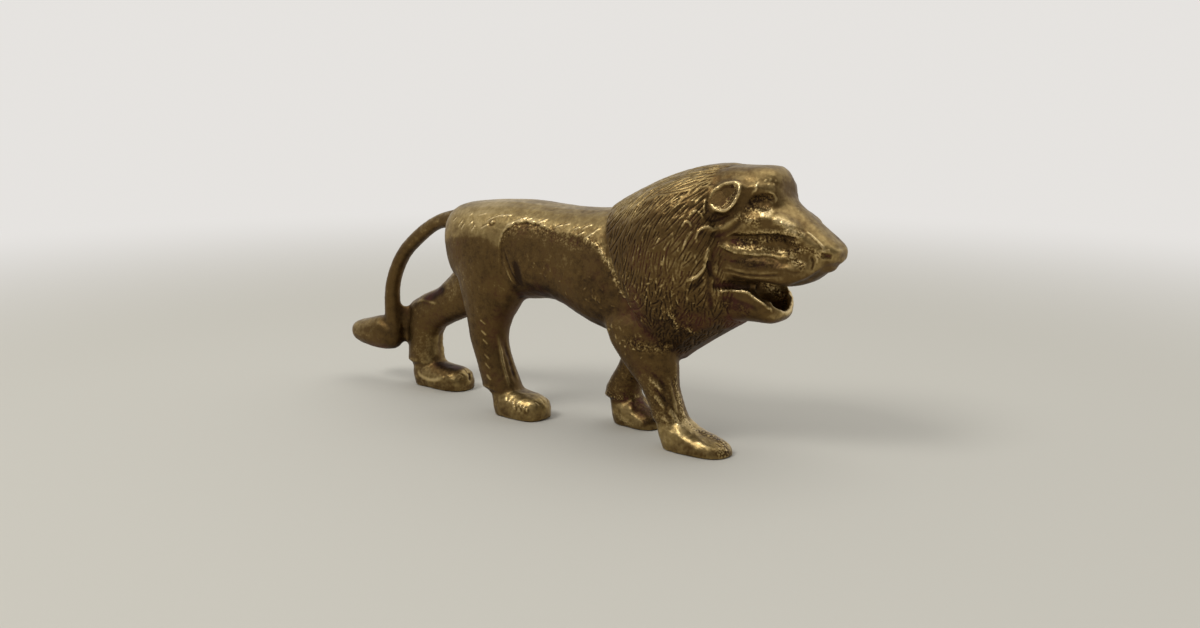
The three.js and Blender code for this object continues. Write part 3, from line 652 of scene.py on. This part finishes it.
PAW_MARKS = (
    # The left hind paw is dark on top, with a bright line along its side
    ([(-34.5, 2.2, 5.2), (-32, 2.4, 4.8), (-29.5, 2.8, 4.6), (-27.6, 3.2, 4)], 5.6, 0, 0.25, -1, 0, 0),
    ([(-37.2, 0, 3.3), (-36.5, 0, 2.3), (-34.2, 0, 1.8), (-31.6, 0, 2.1), (-30.4, 0, 2.7)], 1.2, 0.1, 0.3, 0.6, 0, 0),
    # The left fore paw has painted shadow on top, where the right fore leg shades it, and is bright along its sole,
    # under a dark rough cuff
    ([(12.9, 2.7, 4.6), (14.6, 2.5, 3.8), (16.6, 2.2, 2.4), (17.8, 1.9, 1.2)], 4.2, 0, 0.1, -0.8, 0.3, 0, "flat"),
    ([(9.6, 0.9, 2.6), (12, 0.6, 1.3), (15, 0.6, 0.8)], 1.8, 0.05, 0.3, 0.35, 0.4, 0),
    ([(7.7, 1.6, 5.2), (10.5, 1.3, 4.9), (12.8, 1.7, 5)], 2.4, 0, 0.2, -0.3, 0.7, 0),
    # The right fore paw has a bright knuckle on its near side
    ([(31.2, -6.2, 2.9), (32.8, -6.4, 2.4), (34.2, -6.3, 1.8)], 1.8, 0.1, 0.3, 0.3, 0, 0),
    # Its rim is rough
    ([(30, -3.4, 4), (32.6, -3.4, 3.2), (34.8, -3.6, 2.3), (36, -4.2, 1.3),
      (34.8, -6.2, 0.9)], 3, 0, 0.1, -0.3, 1, 0),
)


class LION_OT_chisel_body(bpy.types.Operator):
    """Chisel the torso, legs, paws and tail"""
    bl_idname = "lion.chisel_body"
    bl_label = "Chisel the body"

    def execute(self, context):
        rng = np.random.default_rng(sizes().seed + 1)
        self.sink_flanks()
        self.mark_sides(rng)
        self.tick_back(rng)
        self.mark_shanks()
        self.hem_cuffs()
        self.mark_paws()
        renew_normals()
        return {"FINISHED"}

    def sink_flanks(self):
        """The dull flank lies a little lower than the bright back above it. The back is brightened as wear and as
        painted highlight, and the flank dulled with painted shade.
        """
        co, normal = metal.co, metal.normal
        x = co[:, 0]
        crisp = ramp(x, -8.6, -8.1) * (1 - ramp(x, -1.5, 4))
        wobble = 0.3 * field(0.9, 11) + 0.45 * field(3, 12)
        edge = np.interp(x, *zip(*BACK_EDGE)) + wobble
        drop = edge - co[:, 2]
        body = belongs_to("torso", "right_hind_leg", "left_hind_leg", "right_front_leg", "left_front_leg")
        side = body * ramp(np.abs(normal[:, 1]), 0.3, 0.6)
        under = drop / (1.1 - 0.85 * crisp)
        below = side * ramp(under, -0.6, 0.8)
        flank = ramp(x, -8.4, -7.8) * (1 - ramp(x, 9, 13))
        depth = below * (0.2 * flank + 0.04) * (1 - ramp(drop, 3, 9))
        lip = side * np.exp(-((drop + 0.3) / 0.28) ** 2) * crisp * (0.6 + 0.8 * field(0.7, 14))
        metal.co = co + normal * (0.08 * lip - depth)[:, None]
        # The back above the edge is brightened as wear and as painted highlight, and the flank below it darkened with
        # painted shade
        metal.tone += body * 0.34 * (1 - ramp(under, -0.7, 0.9)) + 0.5 * lip - 0.06 * below
        # Upright streaks and a rough band just under the edge
        streaks = field(1, 15, co * (1.1, 0.3, 0.22))
        band = side * flank * np.exp(-((drop - 0.6) / 1.3) ** 2)
        metal.tone += band * (0.4 * streaks + 0.1)
        metal.grain += 0.45 * band + 0.1 * side * below

    def hatch(self, rng, line, count, aside, stray, bright):
        """Short rough bright marks strewn along a line, aside from it and astray from its course"""
        path = path_through(line)
        for k in rng.integers(1, len(path) - 1, count):
            way = path[k + 1] - path[k - 1]
            way = turned(way / np.linalg.norm(way), rng.normal() * stray)
            place = path[k] + rng.normal(size=3) * (aside / 2, 0, aside / 2)
            ends = np.array([place + t * rng.uniform(0.25, 0.5) * way for t in (-1, 0, 1)])
            for side in (1, -1):
                press(on_surface(ends * (1, side, 1)), 0.45, 0.09, 0.3, bright, 0.3)

    def mark_sides(self, rng):
        """Creases of the thighs, and rough marks on the shoulders, flanks and chest"""
        work(SIDE_MARKS)
        self.hatch(rng, SHOULDER_LINE, 20, 0.6, 0.45, 0.35)
        self.hatch(rng, [(16, -8, 28.6), (17.6, -8.4, 25.6), (20.4, -9.2, 23.4)], 26, 0.3, 0.35, 0.5)
        # The chest between the fore legs is rough
        stroke([(18.4, -8.4, 17.6), (23.1, -7.4, 16.9), (26.4, -5.1, 17.1)], 3.4, 0, 0.2, 0, 0.7, 0.5)
        # Loose flecks on the shoulder, the flank and the chest
        for flecks in (
            ([(8, -8, 31), (11, -8, 27), (13.5, -8, 23)], 22, 2.6, 1, 0.35),
            ([(-3, -8, 30), (1, -8, 28), (6, -8, 28)], 18, 3, 1, 0.3),
            ([(14, -8, 20), (17.5, -8, 17), (23, -8, 18)], 26, 2.2, 0.9, 0.35),
        ):
            self.hatch(rng, *flecks)
        # A cast dot on the haunch
        dot = [(-10.6, -7.2, 34.8), (-10.5, -7.2, 34.9)]
        stroke(dot, 2, -0.08, 0, -0.3)
        stroke(dot, 1.1, 0.38, 0, 0.5)

    def tick_back(self, rng):
        """Short chisel cuts along the upper edge of the back"""
        for x, z in BACK_TICKS:
            for side in (-1, 1):
                long, rise = rng.uniform(0.6, 1.1), rng.uniform(0.6, 1)
                if x < -14:
                    long, rise = 0.3 * long, 3 * rise
                place = np.array((x, side * 7, z)) + (0 if side < 0 else rng.normal(size=3) * (0.6, 0, 0.3))
                ends = [place + t * long * np.array((1, 0, rise)) for t in (-1, 0, 1)]
                press(on_surface(ends), 0.45, -0.07, 0.4, -0.1, form="vee")
                press(on_surface([e + (0.22, 0, -0.22) for e in ends]), 0.5, 0.1, 0.4, 0.9)
        # A longer bright line beside the mane
        stroke([(9.6, -8, 33.5), (11.1, -8, 34.9), (12.3, -8, 36.3)], 0.5, 0.12, 0.3, 0.8, 0, 0.4)

    def mark_shanks(self):
        # Short raised dashes down the outside of the hind shanks
        for x, z in ((-12.9, 16.8), (-12.9, 14.8), (-12.6, 13.2), (-12.4, 10.6), (-12.2, 8.9), (-11.9, 6.9)):
            right = np.array([(x - 0.65, -7.2, z + 0.5), (x, -7.2, z), (x + 0.65, -7.2, z - 0.5)])
            press(on_surface(right), 0.6, 0.12, 0.3, 0.6)
            press(on_surface(right + (-22.5, 14.4, 0)), 0.6, 0.1, 0.3, 0.4)
        # A ridge down the front of each shank with a dark groove before it
        for ridge, groove, high in (
            ([(-10.9, -5.6, 14.8), (-10.5, -5.2, 11.8), (-9.8, -5.4, 9), (-8.7, -5.6, 6.5), (-8.2, -5.8, 5)],
             [(-10.5, -4.2, 13.6), (-10, -3.7, 10.6), (-9, -3.8, 8), (-8, -4, 5.8)], 1),
            ([(-33.8, 6, 12.4), (-34.2, 5.8, 10), (-34, 5.8, 8), (-33.4, 5.8, 5.6)],
             [(-33, 4.6, 12), (-33.4, 4.4, 10), (-33.4, 4.4, 8), (-33, 4.4, 6)], 0.5),
            ([(25.6, -5.6, 12.3), (25.9, -5.2, 9.8), (26.6, -5.2, 7.4), (27.1, -5.8, 5.2)],
             [(24.6, -6.4, 12.6), (24.9, -6.4, 10.4), (25.5, -6.6, 8.2), (26.2, -6.8, 6.2)], 0.7),
        ):
            stroke(ridge, 1.1, 0.18 * high, 0.25, 0.45 * high, left=0)
            stroke(groove, 1.5, -0.16 * high, 0.25, -0.3 * high, left=0)
        # Rough bright scrapes on the right fore shank
        for scrape, wide in (
            ([(22.4, -7.2, 12), (23.6, -7, 11), (25.2, -6.4, 9.6)], 1.3),
            ([(23.4, -7, 9), (24.6, -6.8, 7.9), (25.6, -6.5, 6.9)], 1.2),
            ([(25.8, -6.4, 7.2), (27, -6, 5.8), (28.6, -6, 4.4)], 1.6),
            ([(25, -6.8, 5.6), (26.4, -6.6, 4.6)], 1),
        ):
            stroke(scrape, wide, 0.12, 0.3, 0.5, 0.4, left=0)
            stroke(np.array(scrape) + (0.5, 0, 0.9), 0.9, -0.1, 0.3, -0.25, left=0)
        work(SHANK_MARKS)

    def hem_cuffs(self):
        """A filed step where each leg enters its paw, deepest at the heel"""
        co, normal = metal.co, metal.normal
        x, height = co[:, 0], co[:, 2] + 0.3 * field(1.6, 21)
        ankle = ramp(1 - np.abs(normal[:, 2]), 0.2, 0.5) * (0.45 - 0.55 * np.clip(normal[:, 0], -1, 0.8))
        ankle *= 1 - 0.8 * ramp(x, 21.5, 23) * (co[:, 1] < 0)
        groove, hem = (ankle * np.exp(-((height - middle) / reach) ** 2)
                       for middle, reach in (CUFF_GROOVE, CUFF_HEM))
        metal.co = co + normal * (0.12 * hem - 0.2 * groove)[:, None]
        metal.tone += 0.2 * hem - 0.3 * groove
        # The fore legs are rough above their cuffs
        metal.grain += ((0.2 + 0.3 * field(2.5, 24)) * ramp(height, 3, 5) * (1 - ramp(height, 10, 15))
                        * (x > 4) * (x < 32))

    def mark_paws(self):
        """Lumps and wrinkles on the paws, and shallow cuts between the toes"""
        co, normal = metal.co, metal.normal
        paw = (1 - ramp(co[:, 2], 3.6, 5)) * ramp(co[:, 2], 0.4, 1.4)
        metal.co = co + normal * (paw * (0.12 * field(1.5, 22) + 0.05 * field(0.7, 23)))[:, None]
        for toe, side in ((36.1, -3.9), (18, 3.9), (-1.5, -3.9), (-26.7, 3.9)):
            for aside in (-1.3, 0.1, 1.4):
                line = [(toe - 0.2 - t * 1.6, side + aside * (0.75 + 0.25 * t), 3) for t in (0, 0.5, 1)]
                stroke(line, 0.6, -0.12, 0.3, -0.1, left=0, form="vee")
        # Wrinkles across the outside of the right hind paw, polished and rough
        for x, z, long in ((-8, 3.9, 1.1), (-7.1, 3.7, 1), (-6.2, 3.5, 1.2), (-5.2, 3.4, 1), (-4.4, 3.1, 1.1),
                           (-3.5, 2.9, 1), (-2.8, 2.4, 0.8), (-5.8, 2.4, 0.9), (-4.6, 2.2, 0.8)):
            line = np.array([(x - 0.3, -8, z + 0.5 * long), (x, -8, z), (x + 0.15, -8, z - 0.5 * long)])
            press(on_surface(line), 0.7, 0.1, 0.3, 0.3, 0.4)
            press(on_surface(line + (0.45, 0, 0)), 0.5, -0.08, 0.3, -0.1)
        work(PAW_MARKS)
        # A pit between the toes of the left hind paw
        press(on_surface([(-26.8, 4.5, 3.1), (-26.5, 4.1, 2.3)]), 1.1, -0.25, 0, -0.5)


class LION_OT_part_pieces(bpy.types.Operator):
    """Part the worked metal into its named pieces"""
    bl_idname = "lion.part_pieces"
    bl_label = "Part the pieces"

    def execute(self, context):
        grain_surface()
        age_and_painted_light = ageing_and_painted_light()
        owner = piece_of_faces()
        material = aged_brass()
        for number, name in enumerate(PIECES):
            faces = metal.quads[owner == number]
            if not len(faces):
                raise RuntimeError("no skin is left for " + name)
            used, index = np.unique(faces, return_inverse=True)
            piece = closed_piece("brass_" + name, metal.co[used] / MM, index.reshape(-1, 4))
            for key, values in age_and_painted_light.items():
                piece.data.attributes.new(key, "FLOAT", "POINT").data.foreach_set("value", values[used])
            piece.data.materials.append(material)
            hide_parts(name)
            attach(piece, "root")
        return {"FINISHED"}


def grain_surface():
    """The uneven surface that the sand mould left"""
    height = sizes().cast_grain
    bumps = 0.5 * field(1.6, 1) + 0.35 * field(0.7, 2) + (0.3 + 1.1 * metal.grain) * field(0.42, 4)
    metal.co += metal.normal * (height * bumps)[:, None]
    metal.co[:, 2] = np.maximum(metal.co[:, 2], 0)


def ageing_and_painted_light():
    """How deep each point lies below the metal round it, at a fine and at a broad scale, and how bright
    hands keep it, with painted highlight on the upper sides and in the marks, and painted shade beneath"""
    co, edges, normal = metal.co, metal.edges, normals_of(metal.co, metal.quads)
    fine, broad = (((relaxed(co, edges, rounds, hold=False) - co) * normal).sum(1) / depth
                   for rounds, depth in (FINE, BROAD))
    up = averaged(averaged(normal, edges), edges)[:, 2]
    top = np.array([TOP_WEAR_AND_HIGHLIGHT.get(name, 0.17) for name in PIECES])[metal.piece]
    # The upper side is brightened as wear and as painted highlight, and the underside darkened as patina and painted
    # shade
    tone = metal.tone + top * ramp(up, 0.1, 0.8) - 0.3 * ramp(-up, 0.15, 0.8)
    for names, shift in TONES:
        tone += shift * belongs_to(*names)
    paw = (co[:, 2] < 4.6) * (1 - ramp(np.abs(up), 0.9, 1))
    tone += 0.16 * paw * ramp(co[:, 2], 0.3, 1.6)
    tone = averaged(tone[:, None], edges)[:, 0]
    return {"recess": np.clip(fine, -2, 2), "hollow": np.clip(broad, -2, 2), "tone": np.clip(tone, -2, 2),
            "grain": np.clip(metal.grain, 0, 1)}


# Rounds of smoothing that a point's depth is measured against, and the depth that counts as 1
FINE, BROAD = (5, 0.06), (40, 0.3)
# How bright the upper side is made, by wear and by painted highlight, and the pieces that handling or dirt has left
# brighter or darker
TOP_WEAR_AND_HIGHLIGHT = {"mane": 0.5, "head": 0.27}
TONES = (
    (("head",), 0.04), (("lower_jaw",), -0.02), (("right_ear", "left_ear"), 0.05), (("mane",), -0.16),
    (("tail_tuft", "tail_tie"), -0.12), (("tail",), -0.04), (("right_hind_leg", "torso"), -0.07),
    (("left_front_leg", "left_hind_leg"), 0.08), (("right_hind_paw", "right_front_paw"), 0.12),
)


def piece_of_faces():
    """The piece that each face belongs to, with even borders and no islands"""
    edges, quads = metal.edges, metal.quads
    share = np.eye(len(PIECES))[metal.piece]
    for _ in range(8):
        share = 0.5 * share + 0.5 * averaged(share, edges)
    owner = share[quads].sum(1).argmax(1)
    for _ in range(6):
        owner = without_islands(owner, share)
    return owner


def without_islands(owner, share):
    """Gives each stray patch of a piece to the neighbour that surrounds it"""
    quads = metal.quads
    changed = owner.copy()
    for number in range(len(PIECES)):
        mine = np.flatnonzero(owner == number)
        roots = joined_up(len(metal.co), quads[mine])[quads[mine, 0]]
        main = np.bincount(roots).argmax()
        stray = mine[roots != main]
        if len(stray):
            others = share[quads[stray]].sum(1)
            others[:, number] = -1
            changed[stray] = others.argmax(1)
    return changed


def closed_piece(name, co, faces):
    """A piece of the skin, closed where it meets its neighbours"""
    mesh = mesh_of(name, co, faces)
    bm = bmesh.new()
    bm.from_mesh(mesh)
    for face in bm.faces:
        face.smooth = True
    border = [e for e in bm.edges if e.is_boundary]
    for edge in border:
        edge.smooth = False
    filled = bmesh.ops.holes_fill(bm, edges=border, sides=0)["faces"]
    for face in filled:
        face.smooth = False
    bmesh.ops.triangulate(bm, faces=filled)
    bm.to_mesh(mesh)
    bm.free()
    return placed(name, mesh)


# Materials
class Nodes:
    """Short ways to add and join shader nodes"""

    def __init__(self, owner):
        owner.use_nodes = True
        self.tree = owner.node_tree
        self.tree.nodes.clear()

    def add(self, kind, inputs=None, **settings):
        node = self.tree.nodes.new("ShaderNode" + kind)
        for key, value in settings.items():
            setattr(node, key, value)
        for key, value in (inputs or {}).items():
            if isinstance(value, bpy.types.NodeSocket):
                self.tree.links.new(value, node.inputs[key])
            else:
                node.inputs[key].default_value = value
        return node

    def math(self, operation, a, b, c=0):
        return self.add("Math", {0: a, 1: b, 2: c}, operation=operation).outputs[0]

    def mix(self, share, a, b):
        return self.add("Mix", {0: share, 6: a, 7: b}, data_type="RGBA").outputs[2]

    def ranged(self, value, low, high, to_low=0.0, to_high=1.0, curve="LINEAR"):
        return self.add("MapRange", {0: value, 1: low, 2: high, 3: to_low, 4: to_high},
                        interpolation_type=curve).outputs[0]

    def noise(self, where, scale, detail, roughness=0.5):
        return self.add("TexNoise", {"Vector": where, "Scale": scale, "Detail": detail,
                                               "Roughness": roughness}).outputs["Fac"]

    def attribute(self, name):
        return self.add("Attribute", attribute_name=name).outputs["Fac"]


def aged_brass():
    material = bpy.data.materials.new("aged_brass")
    n = Nodes(material)
    where = n.add("TexCoord").outputs["Object"]
    recess, hollow, tone, grain = map(n.attribute, ("recess", "hollow", "tone", "grain"))
    clouds = n.noise(where, 110, 3, 0.55)
    specks = n.noise(where, 900, 3, 0.6)
    # Hands keep what stands out bright, and the tone adds painted highlight and painted shade; patina gathers in
    # the recesses and in patches over the rest, and the broad hollows are darkened with painted shade as well
    wear_and_painted_light = n.math("SUBTRACT", n.math("MULTIPLY", tone, 0.75), n.math("MULTIPLY", recess, 0.26))
    wear_and_painted_light = n.math("SUBTRACT", wear_and_painted_light, n.math("MULTIPLY", hollow, 0.2))
    wear_and_painted_light = n.math("ADD", wear_and_painted_light, n.ranged(clouds, 0.3, 0.7, -0.16, 0.16))
    rough = n.math("MULTIPLY_ADD", grain, 1.4, 0.9)
    wear_and_painted_light = n.math("ADD", wear_and_painted_light, n.math("MULTIPLY", n.ranged(specks, 0.3, 0.7, -0.12, 0.12), rough))
    # Fine speckle where the metal is rough, and single bright flecks on the dull metal
    speckle = n.ranged(n.noise(where, 3300, 1), 0.35, 0.65, -0.42, 0.42)
    wear_and_painted_light = n.math("ADD", wear_and_painted_light, n.math("MULTIPLY", speckle, grain))
    drawn = n.add("VectorMath", {0: where, 1: (1.5, 1.5, 0.8)}, operation="MULTIPLY").outputs[0]
    flecks = n.ranged(n.noise(drawn, 900, 2, 0.6), 0.66, 0.74, 0, 0.4)
    wear_and_painted_light = n.math("ADD", wear_and_painted_light, n.math("MULTIPLY", flecks, n.math("MULTIPLY_ADD", grain, 0.9, 0.25)))
    red = n.ranged(n.noise(where, 160, 2), 0.5, 0.64)
    brown = n.mix(red, colours().patina_and_shade, colours().red_tint)
    colour = n.mix(n.ranged(wear_and_painted_light, -0.42, 0), brown, colours().tarnished)
    colour = n.mix(n.ranged(wear_and_painted_light, 0.06, 0.42), colour, colours().worn)
    colour = n.mix(n.ranged(wear_and_painted_light, 0.38, 0.85), colour, colours().polished_and_highlight)
    dull = n.ranged(wear_and_painted_light, -0.4, 0.7, 0.56, 0.34)
    # Pits of the casting
    pits = n.noise(where, 2600, 2, 0.6)
    waves = n.noise(where, 700, 2)
    height = n.math("MULTIPLY", n.math("ADD", n.math("MULTIPLY", pits, 0.5), waves), rough)
    bump = n.add("Bump", {"Strength": 0.5, "Distance": 0.00014, "Height": height})
    shader = n.add("BsdfPrincipled", {
        "Base Color": colour, "Metallic": 1.0, "Roughness": dull, "Normal": bump.outputs[0]})
    n.add("OutputMaterial", {0: shader.outputs[0]})
    return material


FLOOR_RADIUS, FADE = 2.5, (0.11, 0.34)  # metres; the floor turns into the backdrop over the fade
EYE, LOOK, LENS = (0.13885, -0.1774, 0.062), (-0.58409, 0.78935, -0.1891), 39.24


class LION_OT_set_stage(bpy.types.Operator):
    """Set the floor, the light and the camera"""
    bl_idname = "lion.set_stage"
    bl_label = "Set the stage"

    def execute(self, context):
        scene = context.scene
        scene.view_settings.view_transform = "Standard"
        self.make_floor()
        self.make_world(scene)
        self.make_lights()
        self.make_camera(scene)
        return {"FINISHED"}

    def make_floor(self):
        bm = bmesh.new()
        bmesh.ops.create_circle(bm, cap_ends=True, segments=96, radius=FLOOR_RADIUS)
        mesh = bpy.data.meshes.new("floor")
        bm.to_mesh(mesh)
        bm.free()
        floor = placed("floor", mesh)
        material = bpy.data.materials.new("pale_floor")
        n = Nodes(material)
        shader = n.add("BsdfPrincipled", {"Base Color": colours().floor, "Roughness": 0.9})
        away = n.add("VectorMath", {0: n.add("TexCoord").outputs["Object"]},
                     operation="LENGTH").outputs["Value"]
        share = n.ranged(away, *FADE, curve="SMOOTHSTEP")
        glow = n.add("Emission", {0: colours().backdrop})
        both = n.add("MixShader", {0: share, 1: shader.outputs[0], 2: glow.outputs[0]})
        n.add("OutputMaterial", {0: both.outputs[0]})
        mesh.materials.append(material)

    def make_world(self, scene):
        world = bpy.data.worlds.new("studio")
        scene.world = world
        n = Nodes(world)
        way = n.add("TexCoord").outputs["Generated"]
        split = n.add("SeparateXYZ", {0: way})
        # The backdrop's side is pale, and the room on the camera's side is dim
        behind = n.math("ADD", n.math("MULTIPLY", split.outputs[0], -0.58),
                        n.math("MULTIPLY", split.outputs[1], 0.8))
        share = n.ranged(behind, -0.5, 0.35, curve="SMOOTHSTEP")
        light = n.mix(share, (0.16, 0.15, 0.14, 1), (0.78, 0.78, 0.78, 1))
        up = n.ranged(split.outputs[2], 0.35, 0.95, curve="SMOOTHSTEP")
        light = n.mix(up, light, (0.55, 0.55, 0.56, 1))
        seen = n.add("LightPath").outputs["Is Camera Ray"]
        colour = n.mix(seen, light, colours().backdrop)
        shader = n.add("Background", {"Color": colour})
        n.add("OutputWorld", {0: shader.outputs[0]})

    def make_lights(self):
        for name, place, size, power in (
            ("window", (-0.12, -0.42, 0.52), 0.22, 1.5),
            ("top", (0.1, 0.15, 0.7), 0.6, 1.2),
        ):
            lamp = bpy.data.lights.new(name, "AREA")
            lamp.shape = "SQUARE"
            lamp.size = size
            lamp.energy = power
            aim(placed(name, lamp), place, Vector((0.01, 0, 0.025)) - Vector(place))

    def make_camera(self, scene):
        data = bpy.data.cameras.new("camera")
        data.sensor_width = 36.0
        data.lens = LENS
        data.clip_start = 0.01
        scene.camera = placed("camera", data)
        aim(scene.camera, EYE, Vector(LOOK))


class LION_PT_workbench(bpy.types.Panel):
    """The lion's pieces and its stage"""
    bl_idname = "LION_PT_workbench"
    bl_label = "Brass Lion"
    bl_space_type = "VIEW_3D"
    bl_region_type = "UI"
    bl_category = "Brass Lion"

    def draw(self, context):
        for step in STEPS:
            self.layout.operator(step.bl_idname)
        for group in (sizes(), colours()):
            for key in group.bl_rna.properties.keys():
                if key not in ("rna_type", "name"):
                    self.layout.prop(group, key)


STEPS = (
    LION_OT_pour_blank,
    LION_OT_shape_head,
    LION_OT_refine_skin,
    LION_OT_carve_face,
    LION_OT_comb_mane,
    LION_OT_chisel_body,
    LION_OT_part_pieces,
    LION_OT_set_stage,
)
CLASSES = (LionSizes, LionColours, *STEPS, LION_PT_workbench)


def register():
    for cls in CLASSES:
        bpy.utils.register_class(cls)
    bpy.types.Scene.lion_sizes = bpy.props.PointerProperty(type=LionSizes)
    bpy.types.Scene.lion_colours = bpy.props.PointerProperty(type=LionColours)


def unregister():
    del bpy.types.Scene.lion_colours
    del bpy.types.Scene.lion_sizes
    for cls in reversed(CLASSES):
        bpy.utils.unregister_class(cls)


def main():
    register()
    for step in STEPS:
        getattr(bpy.ops.lion, step.bl_idname.split(".")[1])()
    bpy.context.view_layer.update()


if __name__ == "__main__":
    main()
